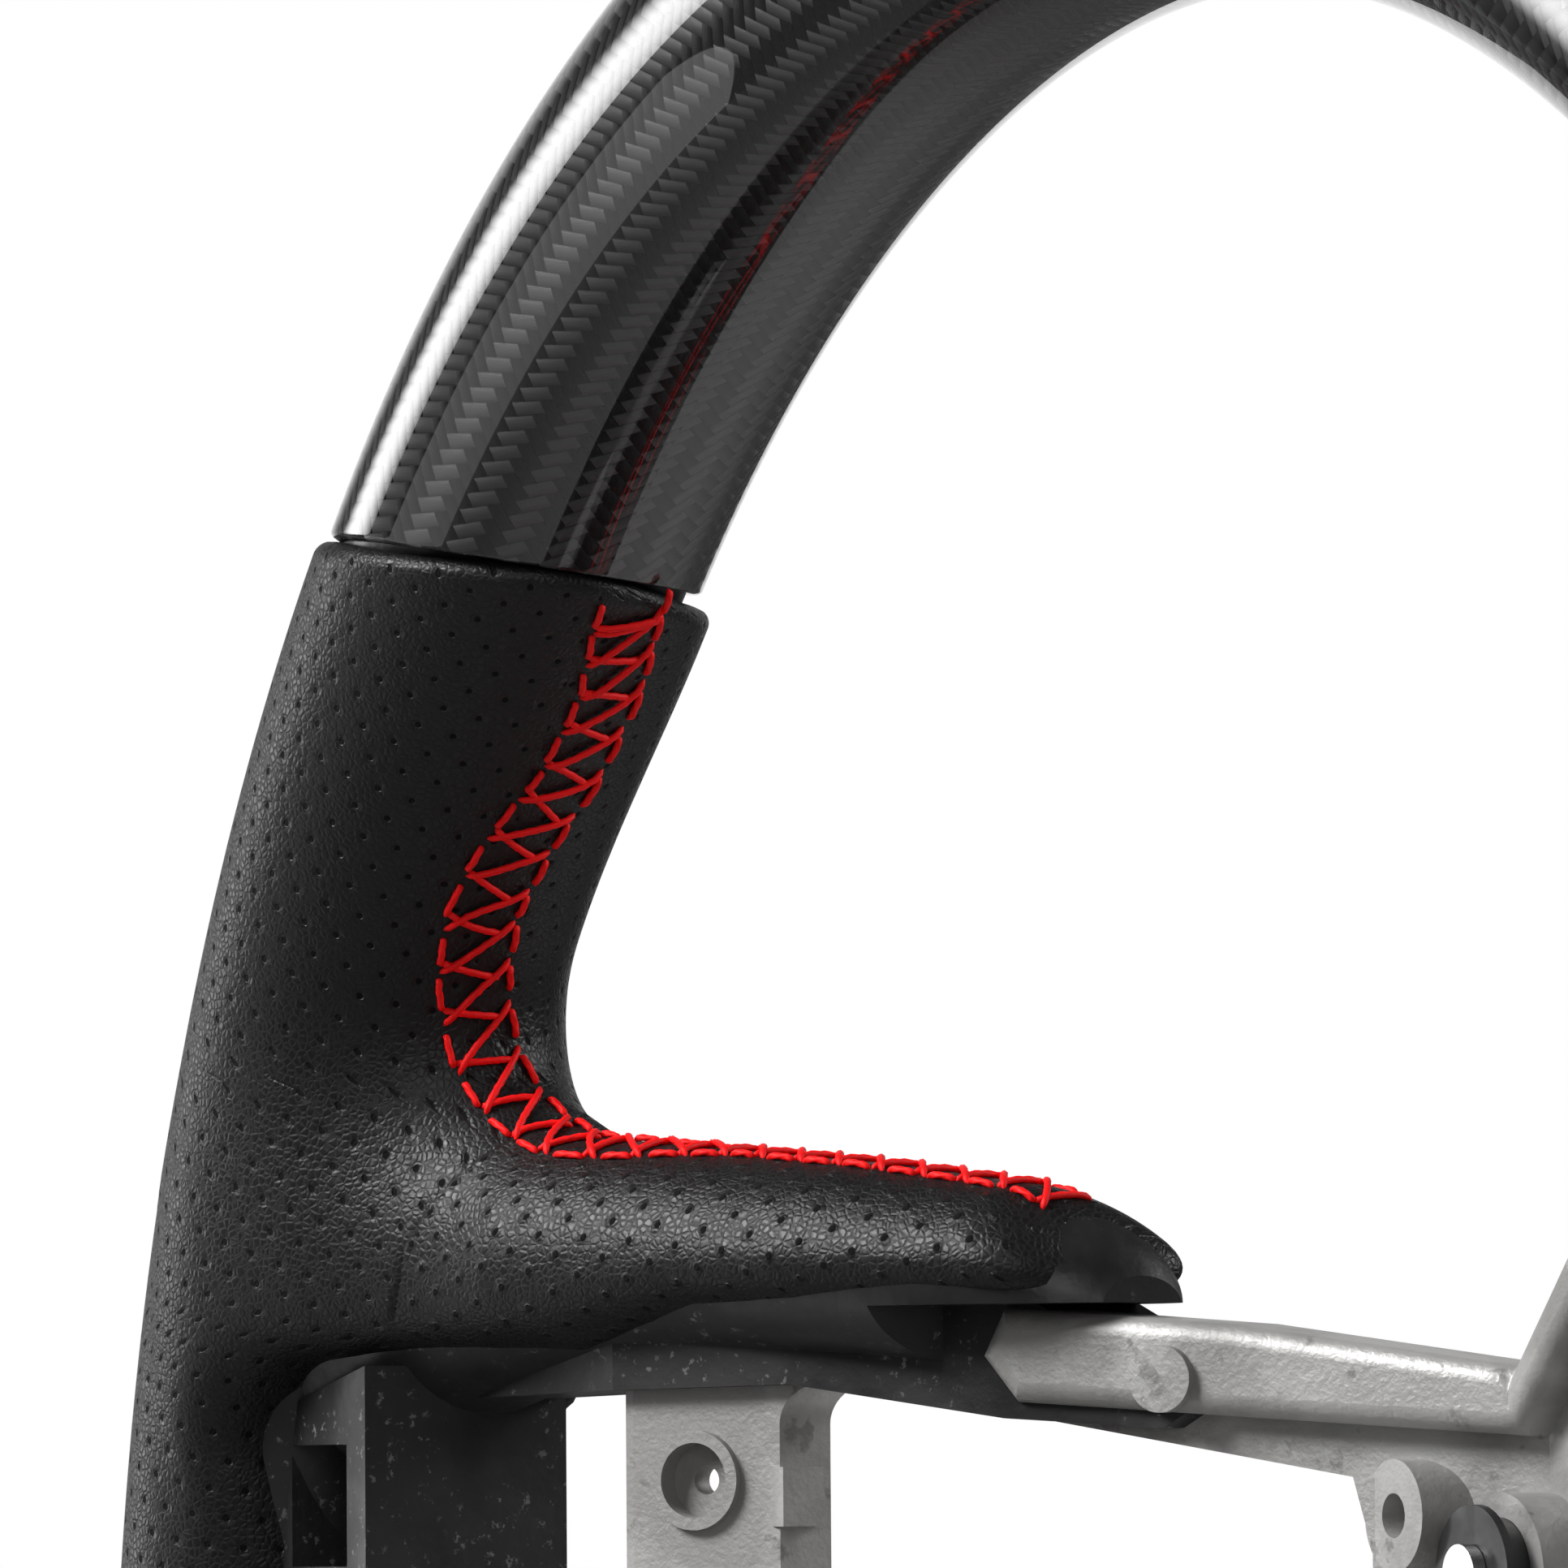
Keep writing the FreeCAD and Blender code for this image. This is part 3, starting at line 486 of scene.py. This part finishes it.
def thread_group(name, paths, radius, side_name):
    """Tubes with a three-lobed twisting section: radius r * (1 + 0.16 cos 3(a - twist))."""
    change = (lambda p: p) if side_name == "left" else other_side
    stitches = paths.shape[0]
    tangent = np.gradient(paths, axis=1)
    tangent /= np.linalg.norm(tangent, axis=-1, keepdims=True) + 1e-9
    lifted = gradient(paths)
    side = np.cross(tangent, lifted)
    side /= np.linalg.norm(side, axis=-1, keepdims=True) + 1e-9
    top = np.cross(side, tangent)
    steps = np.linalg.norm(np.diff(paths, axis=1), axis=-1)
    run = np.concatenate([np.zeros((stitches, 1)), np.cumsum(steps, axis=1)], axis=1)
    around_ring = np.linspace(0.0, 2.0 * np.pi, ROUND, endpoint=False)
    twist = run * 2.0 * np.pi / 4.2
    lobes = 1.0 + 0.16 * np.cos(3.0 * (around_ring[None, None, :] - twist[..., None]))
    share = np.linspace(0.0, 1.0, RINGS)
    taper = np.sqrt(np.clip(1.0 - np.abs(2.0 * share - 1.0) ** 14, 0.05, 1.0))
    size = radius * lobes * taper[None, :, None]
    ring = (
        paths[:, :, None, :] + size[..., None] * (
            np.cos(around_ring)[None, None, :, None] * side[:, :, None, :]
            + np.sin(around_ring)[None, None, :, None] * top[:, :, None, :]))
    points = change(ring).reshape(-1, 3)
    index = np.arange(stitches * RINGS * ROUND).reshape(stitches, RINGS, ROUND)
    following = np.roll(index, -1, axis=2)
    quads = np.stack([index[:, :-1], following[:, :-1], following[:, 1:], index[:, 1:]], -1)
    quads = quads.reshape(-1, 4)
    start_face = index[:, 0, ::-1].reshape(-1, ROUND)
    end_face = index[:, -1].reshape(-1, ROUND)
    a, b, c, d = (points[quads[:, k]] for k in range(4))
    middle_of = np.repeat(change(paths[:, :-1]).reshape(-1, 3), ROUND, axis=0)
    outwards = (np.cross(b - a, d - a) * (a - middle_of)).sum() > 0.0
    if not outwards:
        quads, start_face, end_face = quads[:, ::-1], start_face[:, ::-1], end_face[:, ::-1]
    mesh = mesh_from_arrays(name, points, [quads, start_face, end_face])
    mesh.validate()
    made = bpy.data.objects.new(name, mesh)
    bpy.context.scene.collection.objects.link(made)
    print(name, stitches, "stitches", len(mesh.polygons), "faces")
    return made


def stitch_paths(start_run, start_across, end_run, end_across, arch, sink=0.25):
    """Arrays of rings for straight stitches: both ends dip into the leather by `sink`,
    and the middle is lifted by `arch`, following 1 - (2t - 1)^6."""
    t = np.linspace(0.0, 1.0, RINGS)
    run = start_run[:, None] + (end_run - start_run)[:, None] * t
    across = start_across[:, None] + (end_across - start_across)[:, None] * t
    lift = arch * (1.0 - np.abs(2.0 * t - 1.0) ** 6) - sink * np.abs(2.0 * t - 1.0) ** 6
    return along_seam(run, across, np.broadcast_to(lift, run.shape))


PITCH = 4.35
first_run = 3.2
marks = first_run + np.arange(int((length[-1] - first_run - 2.0) / PITCH)) * PITCH
rng = np.random.default_rng(11)
wobble = rng.normal(0.0, 0.16, (6, len(marks)))
EDGE = 3.45
front_edge = np.full(len(marks), -EDGE)
back_edge = np.full(len(marks), EDGE)
dash_front = stitch_paths(
    marks + 0.5 + wobble[0], front_edge + wobble[1] * 0.6,
    marks + 3.2 + wobble[0], front_edge + wobble[2] * 0.6, 0.30)
dash_back = stitch_paths(
    marks + 0.1 + wobble[3], back_edge + wobble[4] * 0.6,
    marks + 2.8 + wobble[3], back_edge + wobble[5] * 0.6, 0.30)
long_cross = stitch_paths(
    marks - 0.9 + wobble[1], back_edge * 1.05,
    marks + PITCH - 0.1 + wobble[2], front_edge * 1.02, 0.45)
short_cross = stitch_paths(
    marks + 3.1 + wobble[3], front_edge * 0.98,
    marks + PITCH + 0.6 + wobble[4], back_edge * 0.75, 0.28)
# The seam opens with an upright on each edge and a doubled bar between them.
two = np.array([1.0, 1.0])
uprights = stitch_paths(
    0.1 * two, EDGE * np.array([-0.9, 1.05]), 2.7 * two, EDGE * np.array([-1.0, 1.0]), 0.30)
bars = stitch_paths(
    np.array([2.8, 3.5]), -EDGE * two, np.array([3.2, 3.3]), EDGE * 1.1 * two, 0.40)
THREAD_RADIUS = 0.31
for side_name in ("left", "right"):
    dashes = thread_group(
        "thread_dashes_" + side_name, np.concatenate([dash_front, dash_back, uprights]),
        THREAD_RADIUS, side_name)
    mounted(dashes, "wheel", "thread", "edge_stitches_" + side_name)
    crossing = thread_group(
        "thread_lacing_" + side_name, np.concatenate([long_cross, short_cross, bars]),
        THREAD_RADIUS, side_name)
    mounted(crossing, "wheel", "thread", "lacing_" + side_name)

# %% [markdown]
# ## Finishes
# Every finish is procedural. Patterns of a known size use the millimetre UV map, and
# free marks such as grain, dust and stains use object coordinates.

# %% Node helpers
def new_material(name):
    """Material with a Principled shader; returns the material, its nodes, links and shader."""
    material = bpy.data.materials.new(name)
    material.use_nodes = True
    nodes, links = material.node_tree.nodes, material.node_tree.links
    return material, nodes, links, nodes["Principled BSDF"]


def math_node(nodes, links, operation, first, second=None, third=None):
    """One arithmetic node; each input is a number or another node's output."""
    node = nodes.new("ShaderNodeMath")
    node.operation = operation
    for place, value in enumerate((first, second, third)):
        if value is None:
            continue
        if isinstance(value, (int, float)):
            node.inputs[place].default_value = value
        else:
            links.new(value, node.inputs[place])
    return node.outputs[0]


def colour_mix(nodes, links, factor, first, second):
    """Mix of two colours; each is a triple or another node's output."""
    node = nodes.new("ShaderNodeMix")
    node.data_type = "RGBA"
    for socket, value in ((node.inputs[0], factor), (node.inputs[6], first), (node.inputs[7], second)):
        if isinstance(value, (int, float)):
            socket.default_value = value
        elif isinstance(value, tuple):
            socket.default_value = (*value, 1.0)
        else:
            links.new(value, socket)
    return node.outputs[2]


def cloudy_marks_group():
    """Group used by every finish: cloudy noise of a chosen size, raw and as a 0 to 1 mask
    that is 0 below Low and 1 above High."""
    group = bpy.data.node_groups.new("cloudy marks", "ShaderNodeTree")
    group.interface.new_socket("Where", in_out="INPUT", socket_type="NodeSocketVector")
    starts = (("Scale", 400.0), ("Detail", 3.0), ("Roughness", 0.55), ("Low", 0.4), ("High", 0.6))
    for name, start in starts:
        socket = group.interface.new_socket(name, in_out="INPUT", socket_type="NodeSocketFloat")
        socket.default_value = start
    for name in ("Raw", "Mask"):
        group.interface.new_socket(name, in_out="OUTPUT", socket_type="NodeSocketFloat")
    entry, leave = group.nodes.new("NodeGroupInput"), group.nodes.new("NodeGroupOutput")
    clouds, span = group.nodes.new("ShaderNodeTexNoise"), group.nodes.new("ShaderNodeMapRange")
    group.links.new(entry.outputs["Where"], clouds.inputs["Vector"])
    for name in ("Scale", "Detail", "Roughness"):
        group.links.new(entry.outputs[name], clouds.inputs[name])
    group.links.new(clouds.outputs["Fac"], span.inputs["Value"])
    group.links.new(entry.outputs["Low"], span.inputs["From Min"])
    group.links.new(entry.outputs["High"], span.inputs["From Max"])
    group.links.new(clouds.outputs["Fac"], leave.inputs["Raw"])
    group.links.new(span.outputs["Result"], leave.inputs["Mask"])
    return group


cloudy_marks = cloudy_marks_group()


def marks_on(nodes, links, where, scale, detail=3.0, roughness=0.55, low=0.4, high=0.6):
    """One use of the cloudy marks; returns its raw value and its mask."""
    node = nodes.new("ShaderNodeGroup")
    node.node_tree = cloudy_marks
    values = {"Scale": scale, "Detail": detail, "Roughness": roughness, "Low": low, "High": high}
    for name, value in values.items():
        node.inputs[name].default_value = value
    links.new(where, node.inputs["Where"])
    return node.outputs["Raw"], node.outputs["Mask"]


def bump(nodes, links, height, strength, distance, under=None):
    """Bump node's normal from a height."""
    node = nodes.new("ShaderNodeBump")
    node.inputs["Strength"].default_value = strength
    node.inputs["Distance"].default_value = distance
    links.new(height, node.inputs["Height"])
    if under is not None:
        links.new(under, node.inputs["Normal"])
    return node.outputs["Normal"]


def remap(nodes, links, value, low, high, to_low, to_high):
    """Linear change of range, held at both ends."""
    node = nodes.new("ShaderNodeMapRange")
    links.new(value, node.inputs["Value"])
    for key, number in (("From Min", low), ("From Max", high), ("To Min", to_low), ("To Max", to_high)):
        node.inputs[key].default_value = number
    return node.outputs["Result"]


def coordinates(nodes):
    """Object coordinates in metres and the millimetre UV map."""
    where = nodes.new("ShaderNodeTexCoord")
    skin = nodes.new("ShaderNodeUVMap")
    skin.uv_map = "skin"
    return where.outputs["Object"], skin.outputs["UV"]


print("helpers ready, shared group:", cloudy_marks.name)

# %% [markdown]
# ## Carbon twill
# The shells are woven carbon under a thick clear coat. An image of a weave would be
# simple, but a formula stays sharp at any size: each tow is a stripe, a count of stripes
# both ways says which tow lies on top, and the coat is the shader's own clear coat.

# %% Carbon twill
carbon, nodes, links, shader = new_material("clear coated carbon")
where, skin = coordinates(nodes)
split = nodes.new("ShaderNodeSeparateXYZ")
links.new(skin, split.inputs[0])
TOW = 1.45
slant = 1.0 / (TOW * math.sqrt(2.0))
both = math_node(nodes, links, "ADD", split.outputs[0], split.outputs[1])
apart = math_node(nodes, links, "SUBTRACT", split.outputs[0], split.outputs[1])
u = math_node(nodes, links, "MULTIPLY", both, slant)
v = math_node(nodes, links, "MULTIPLY", apart, slant)
column = math_node(nodes, links, "FLOOR", u)
row_of = math_node(nodes, links, "FLOOR", v)
count = math_node(nodes, links, "FLOORED_MODULO", math_node(nodes, links, "ADD", column, row_of), 4.0)
warp_up = math_node(nodes, links, "LESS_THAN", count, 2.0)
weft_up = math_node(nodes, links, "SUBTRACT", 1.0, warp_up)
in_u = math_node(nodes, links, "MULTIPLY_ADD", math_node(nodes, links, "FRACT", u), 2.0, -1.0)
in_v = math_node(nodes, links, "MULTIPLY_ADD", math_node(nodes, links, "FRACT", v), 2.0, -1.0)
round_u = math_node(nodes, links, "SUBTRACT", 1.0, math_node(nodes, links, "MULTIPLY", in_u, in_u))
round_v = math_node(nodes, links, "SUBTRACT", 1.0, math_node(nodes, links, "MULTIPLY", in_v, in_v))
warp_part = math_node(nodes, links, "MULTIPLY", round_u, warp_up)
weft_part = math_node(nodes, links, "MULTIPLY", round_v, weft_up)
tow_height = math_node(nodes, links, "ADD", warp_part, weft_part)
fibre_u = math_node(nodes, links, "SINE", math_node(nodes, links, "MULTIPLY", u, 60.0))
fibre_v = math_node(nodes, links, "SINE", math_node(nodes, links, "MULTIPLY", v, 60.0))
fibres = math_node(
    nodes, links, "ADD",
    math_node(nodes, links, "MULTIPLY", fibre_u, warp_up),
    math_node(nodes, links, "MULTIPLY", fibre_v, weft_up))
height = math_node(nodes, links, "MULTIPLY_ADD", fibres, 0.03, tow_height)
# Painted sheen: tows on top in one direction get a lighter colour than those in the other, standing in
# for how each direction catches the light.
tone = colour_mix(nodes, links, warp_up, (0.012, 0.012, 0.0125), (0.062, 0.0625, 0.064))
# Painted shade: the grooves between the tows are darkened towards near black.
painted_gap_shade = remap(nodes, links, tow_height, 0.0, 0.35, 0.25, 1.0)
shaded = colour_mix(nodes, links, painted_gap_shade, (0.004, 0.004, 0.004), tone)
links.new(shaded, shader.inputs["Base Color"])
shader.inputs["Metallic"].default_value = 0.9
shader.inputs["Roughness"].default_value = 0.40
shader.inputs["Coat Weight"].default_value = 1.0
shader.inputs["Coat Roughness"].default_value = 0.015
shader.inputs["Coat IOR"].default_value = 1.5
shader.inputs["Anisotropic"].default_value = 0.7
tangent = nodes.new("ShaderNodeTangent")
tangent.direction_type = "UV_MAP"
tangent.uv_map = "skin"
links.new(tangent.outputs[0], shader.inputs["Tangent"])
fibre_turn = math_node(nodes, links, "MULTIPLY_ADD", warp_up, 0.25, 0.125)
links.new(fibre_turn, shader.inputs["Anisotropic Rotation"])
links.new(bump(nodes, links, height, 0.6, 0.00035), shader.inputs["Normal"])
for piece in carbon_pieces:
    piece.data.materials.append(carbon)
print("carbon twill with tows of", TOW, "mm on", len(carbon_pieces), "shells")

# %% [markdown]
# ## Perforated leather
# The hide has a fine pebble grain and rows of punched holes, every second row shifted by
# half a step. Real holes in the mesh would cost millions of faces, so they are a dimple with
# a near-black spot of painted shade for the hole's depth, laid out on the millimetre UV map.

# %% Perforated leather
leather, nodes, links, shader = new_material("perforated leather")
where, skin = coordinates(nodes)
split = nodes.new("ShaderNodeSeparateXYZ")
links.new(skin, split.inputs[0])
HOLE_STEP, ROW_STEP, HOLE_RADIUS = 3.35, 2.65, 0.33
row_value = math_node(nodes, links, "DIVIDE", split.outputs[1], ROW_STEP)
row_number = math_node(nodes, links, "FLOOR", row_value)
odd = math_node(nodes, links, "FLOORED_MODULO", row_number, 2.0)
across_value = math_node(nodes, links, "DIVIDE", split.outputs[0], HOLE_STEP)
shifted = math_node(nodes, links, "MULTIPLY_ADD", odd, 0.5, across_value)


def from_cell_middle(value, step):
    """Millimetres squared from the middle of the pattern's cell, along one direction."""
    share = math_node(nodes, links, "SUBTRACT", math_node(nodes, links, "FRACT", value), 0.5)
    away = math_node(nodes, links, "MULTIPLY", share, step)
    return math_node(nodes, links, "MULTIPLY", away, away)


distance = math_node(nodes, links, "SQRT", math_node(
    nodes, links, "ADD", from_cell_middle(shifted, HOLE_STEP), from_cell_middle(row_value, ROW_STEP)))
hole = remap(nodes, links, distance, HOLE_RADIUS * 0.75, HOLE_RADIUS * 1.15, 1.0, 0.0)
dimple = remap(nodes, links, distance, HOLE_RADIUS * 0.8, HOLE_RADIUS * 2.4, 1.0, 0.0)
cells = nodes.new("ShaderNodeTexVoronoi")
cells.feature = "DISTANCE_TO_EDGE"
cells.inputs["Scale"].default_value = 1500.0
links.new(where, cells.inputs["Vector"])
pebble = remap(nodes, links, cells.outputs["Distance"], 0.0, 0.25, 0.0, 1.0)
fine, fine_mask = marks_on(nodes, links, where, 3200.0, 2.0)
patches, patch_mask = marks_on(nodes, links, where, 60.0)
grain_height = math_node(nodes, links, "MULTIPLY_ADD", fine, 0.5, pebble)
grain_normal = bump(nodes, links, grain_height, 0.35, 0.00012)
hole_depth = math_node(nodes, links, "MULTIPLY_ADD", dimple, 0.35, hole)
hole_height = math_node(nodes, links, "SUBTRACT", 1.0, hole_depth)
full_normal = bump(nodes, links, hole_height, 0.6, 0.0004, grain_normal)
hide = colour_mix(nodes, links, patches, (0.0055, 0.0055, 0.0058), (0.0095, 0.0095, 0.0098))
# Painted shade: inside each hole the colour drops to near black.
links.new(colour_mix(nodes, links, hole, hide, (0.0004, 0.0004, 0.0004)), shader.inputs["Base Color"])
grain_rough = remap(nodes, links, grain_height, 0.2, 1.2, 0.54, 0.38)
links.new(math_node(nodes, links, "MAXIMUM", grain_rough, hole), shader.inputs["Roughness"])
shader.inputs["Specular IOR Level"].default_value = 0.30
links.new(full_normal, shader.inputs["Normal"])
for piece in leather_pieces:
    piece.data.materials.append(leather)

print("leather with holes every", HOLE_STEP, "by", ROW_STEP, "mm")

# %% [markdown]
# ## Red thread
# Waxed polyester thread, bright red and a little matt. The plies are in the mesh, so the
# finish only adds fine fibres.

# %% Red thread
thread, nodes, links, shader = new_material("red waxed thread")
where, skin = coordinates(nodes)
fuzz, fuzz_mask = marks_on(nodes, links, where, 2500.0)
reds = colour_mix(nodes, links, fuzz, (0.88, 0.004, 0.006), (1.0, 0.008, 0.008))
links.new(reds, shader.inputs["Base Color"])
shader.inputs["Roughness"].default_value = 0.55
shader.inputs["Specular IOR Level"].default_value = 0.2
links.new(bump(nodes, links, fuzz, 0.4, 0.0001), shader.inputs["Normal"])
for piece in bpy.data.objects:
    if piece.name.startswith("thread_"):
        piece.data.materials.append(thread)

print("thread laid on the stitches")

# %% [markdown]
# ## Moulded foam
# Skinned black foam, satin in places and dusty in others: one mask of small specks is
# multiplied with one of broad smears, so that the dust gathers in patches.

# %% Moulded foam
foam, nodes, links, shader = new_material("black moulded foam")
where, skin = coordinates(nodes)
specks, speck_mask = marks_on(nodes, links, where, 900.0, 4.0, 0.7, 0.60, 0.66)
smears, smear_mask = marks_on(nodes, links, where, 70.0, 4.0, 0.55, 0.48, 0.56)
dust = math_node(nodes, links, "MULTIPLY", speck_mask, smear_mask)
base = colour_mix(nodes, links, smears, (0.006, 0.006, 0.006), (0.016, 0.016, 0.016))
links.new(colour_mix(nodes, links, dust, base, (0.13, 0.128, 0.125)), shader.inputs["Base Color"])
links.new(remap(nodes, links, smears, 0.35, 0.65, 0.32, 0.6), shader.inputs["Roughness"])
ripple, ripple_mask = marks_on(nodes, links, where, 350.0, 4.0)
links.new(bump(nodes, links, ripple, 0.3, 0.0004), shader.inputs["Normal"])

# %% [markdown]
# ## Bare casting
# The armature is light alloy as it left the die: grey, mottled, with darker spots. It is
# only partly metallic, because the cast skin scatters light more than a turned face does.

# %% Bare casting
casting, nodes, links, shader = new_material("cast light alloy")
where, skin = coordinates(nodes)
stain, stain_mask = marks_on(nodes, links, where, 45.0, 5.0, 0.62, 0.43, 0.58)
spots, spot_mask = marks_on(nodes, links, where, 260.0, 4.0, 0.6, 0.62, 0.68)
grain, grain_mask = marks_on(nodes, links, where, 1800.0)
tone = colour_mix(nodes, links, stain_mask, (0.44, 0.436, 0.428), (0.29, 0.285, 0.276))
faint_spots = math_node(nodes, links, "MULTIPLY", spot_mask, 0.55)
tone = colour_mix(nodes, links, faint_spots, tone, (0.13, 0.12, 0.11))
links.new(tone, shader.inputs["Base Color"])
shader.inputs["Metallic"].default_value = 0.45
links.new(remap(nodes, links, stain, 0.3, 0.7, 0.42, 0.62), shader.inputs["Roughness"])
cast_height = math_node(nodes, links, "MULTIPLY_ADD", spots, 0.8, grain)
links.new(bump(nodes, links, cast_height, 0.35, 0.00025), shader.inputs["Normal"])

# %% [markdown]
# ## Finishes for the CAD pieces
# The hub, collar, pins, balls, springs and screws come from the CAD as they are. One
# function makes their finishes, since they differ only in colour and gloss.

# %% Finishes for the CAD pieces
def simple_metal(name, colour, roughness, metallic=1.0):
    """Turned or coated metal: an even colour with fine scratches in its roughness."""
    material, nodes, links, shader = new_material(name)
    where, skin = coordinates(nodes)
    scratches, scratch_mask = marks_on(nodes, links, where, 400.0, 4.0, 0.7, 0.3, 0.7)
    shader.inputs["Base Color"].default_value = (*colour, 1.0)
    shader.inputs["Metallic"].default_value = metallic
    gloss = math_node(nodes, links, "MULTIPLY_ADD", scratch_mask, roughness * 0.45, roughness * 0.8)
    links.new(gloss, shader.inputs["Roughness"])
    links.new(bump(nodes, links, scratches, 0.08, 0.0001), shader.inputs["Normal"])
    return material


finishes = {
    "armature": casting,
    "foam_core": foam,
    "guide_pins": simple_metal("turned steel", (0.55, 0.55, 0.54), 0.3),
    "release_hub": simple_metal("dark anodised hub", (0.10, 0.10, 0.105), 0.32),
    "release_collar": simple_metal("black anodised collar", (0.035, 0.035, 0.037), 0.28),
    "release_spring": simple_metal("spring steel", (0.42, 0.42, 0.42), 0.3),
    "retaining_ring": simple_metal("phosphated ring", (0.08, 0.08, 0.08), 0.45),
    "rubber_buffer": simple_metal("rubber", (0.012, 0.012, 0.012), 0.7, 0.0),
    "hub_screws": simple_metal("black oxide screws", (0.05, 0.05, 0.052), 0.35),
}
bush_finish = simple_metal("black bush plastic", (0.015, 0.015, 0.015), 0.4, 0.0)
ball_finish = simple_metal("bearing steel", (0.7, 0.7, 0.7), 0.08)
for node_name, node in frame["nodes"].items():
    if node.hide_render:
        continue
    finish = finishes.get(node_name)
    if node_name.startswith("guide_bush"):
        finish = bush_finish
    if node_name.startswith("guide_spring"):
        finish = finishes["release_spring"]
    if node_name.startswith("ball_"):
        finish = ball_finish
    node.data.materials.clear()
    node.data.materials.append(finish)
print("finishes laid on", len(frame["nodes"]), "nodes")

# %% [markdown]
# ## Springs
# One end of a spring stands still and the other follows a moving piece, so no single
# body can carry it. Each spring is a welded copy of its CAD shape, carried on the
# wheel's body in place of the CAD spring.

# %% Springs
def closing_spring(node_name):
    """Welded copy of a spring's CAD mesh in the spring finish, on the wheel's body in place of the CAD
    spring.
    """
    source = frame["nodes"][node_name]
    mesh = source.data.copy()
    mesh.transform(source.matrix_world)
    welded = bmesh.new()
    welded.from_mesh(mesh)
    bmesh.ops.remove_doubles(welded, verts=welded.verts, dist=0.000001)
    welded.to_mesh(mesh)
    welded.free()
    made = bpy.data.objects.new(node_name + "_closing", mesh)
    bpy.context.scene.collection.objects.link(made)
    mesh.materials.clear()
    mesh.materials.append(finishes["release_spring"])
    mounted(made, "wheel", "spring_steel", node_name)
    corners = np.empty(len(mesh.vertices) * 3, np.float32)
    mesh.vertices.foreach_get("co", corners)
    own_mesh(made)


closing_spring("release_spring")
for place_name in ("left", "right", "low"):
    closing_spring("guide_spring_" + place_name)

# %% [markdown]
# ## Studio
# A pale floor, a white surround behind the wheel and soft boxes. The camera's own side
# is left dim, so that the inner face of the rim stays dark.

# %% Lights, floor and world
def soft_box(name, place, aim, wide, tall, power):
    """Rectangular light at `place`, turned towards `aim`."""
    data = bpy.data.lights.new(name, "AREA")
    data.shape = "RECTANGLE"
    data.size, data.size_y, data.energy = wide, tall, power
    made = bpy.data.objects.new(name, data)
    bpy.context.scene.collection.objects.link(made)
    direction = np.array(aim, float) - np.array(place, float)
    made.rotation_mode = "QUATERNION"
    made.rotation_quaternion = Vector(direction).to_track_quat("-Z", "Y")
    made.location = place
    return made


top = soft_box("top box", (-0.30, -1.25, 1.00), (-0.05, -0.085, 0.0), 0.8, 0.6, 6.5)
top.data.spread = math.radians(70.0)
soft_box("weave box", (-0.75, -1.155, -0.65), (-0.08, -0.105, 0.12), 0.9, 0.9, 2.5)
soft_box("side box", (1.25, -0.655, 0.45), (-0.06, -0.075, 0.03), 0.9, 0.9, 5.0)
soft_box("back box", (0.50, 1.60, 0.90), (0.0, 0.0, 0.0), 1.0, 0.8, 18.0)


def card(name, corners, material):
    """Flat four-cornered stage piece."""
    mesh = bpy.data.meshes.new(name)
    mesh.from_pydata(corners, [], [(0, 1, 2, 3)])
    made = bpy.data.objects.new(name, mesh)
    bpy.context.scene.collection.objects.link(made)
    made.data.materials.append(material)
    return made


# The floor looks evenly pale from any side, but throws back only what light falls on it.
pale, nodes, links, shader = new_material("pale floor")
shader.inputs["Base Color"].default_value = (0.82, 0.82, 0.82, 1.0)
shader.inputs["Roughness"].default_value = 0.9
shader.inputs["Emission Color"].default_value = (1.0, 1.0, 1.0, 1.0)
looking = nodes.new("ShaderNodeLightPath")
shown = math_node(nodes, links, "MULTIPLY", looking.outputs["Is Camera Ray"], 0.80)
links.new(shown, shader.inputs["Emission Strength"])
floor_height = -0.90
wide = 12.0
card("floor", [
    (-wide, -wide, floor_height), (wide, -wide, floor_height),
    (wide, wide, floor_height), (-wide, wide, floor_height)], pale)

world = bpy.data.worlds.new("studio")
bpy.context.scene.world = world
world.use_nodes = True
nodes, links = world.node_tree.nodes, world.node_tree.links
background = nodes["Background"]
look = nodes.new("ShaderNodeTexCoord")
part = nodes.new("ShaderNodeSeparateXYZ")
links.new(look.outputs["Generated"], part.inputs[0])
behind = nodes.new("ShaderNodeVectorMath")
behind.operation = "DOT_PRODUCT"
links.new(look.outputs["Generated"], behind.inputs[0])
behind.inputs[1].default_value = tuple(ahead)
bright = remap(nodes, links, behind.outputs["Value"], 0.84, 0.99, 0.02, 1.0)
# One soft glow at the driver's left draws the bright line along the carbon.
aside = nodes.new("ShaderNodeVectorMath")
aside.operation = "DOT_PRODUCT"
links.new(look.outputs["Generated"], aside.inputs[0])
aside.inputs[1].default_value = (-0.87, -0.49, 0.06)
glow = remap(nodes, links, aside.outputs["Value"], 0.955, 0.999, 0.0, 1.0)
glow = math_node(nodes, links, "MULTIPLY", math_node(nodes, links, "MULTIPLY", glow, glow), 8.5)
bright = math_node(nodes, links, "ADD", bright, glow)
seen = nodes.new("ShaderNodeLightPath")
level_now = math_node(nodes, links, "MAXIMUM", bright, seen.outputs["Is Camera Ray"])
links.new(level_now, background.inputs["Strength"])
background.inputs["Color"].default_value = (1.0, 1.0, 1.0, 1.0)
bpy.context.scene.view_settings.view_transform = "Standard"
print("studio ready, floor at", floor_height, "m")
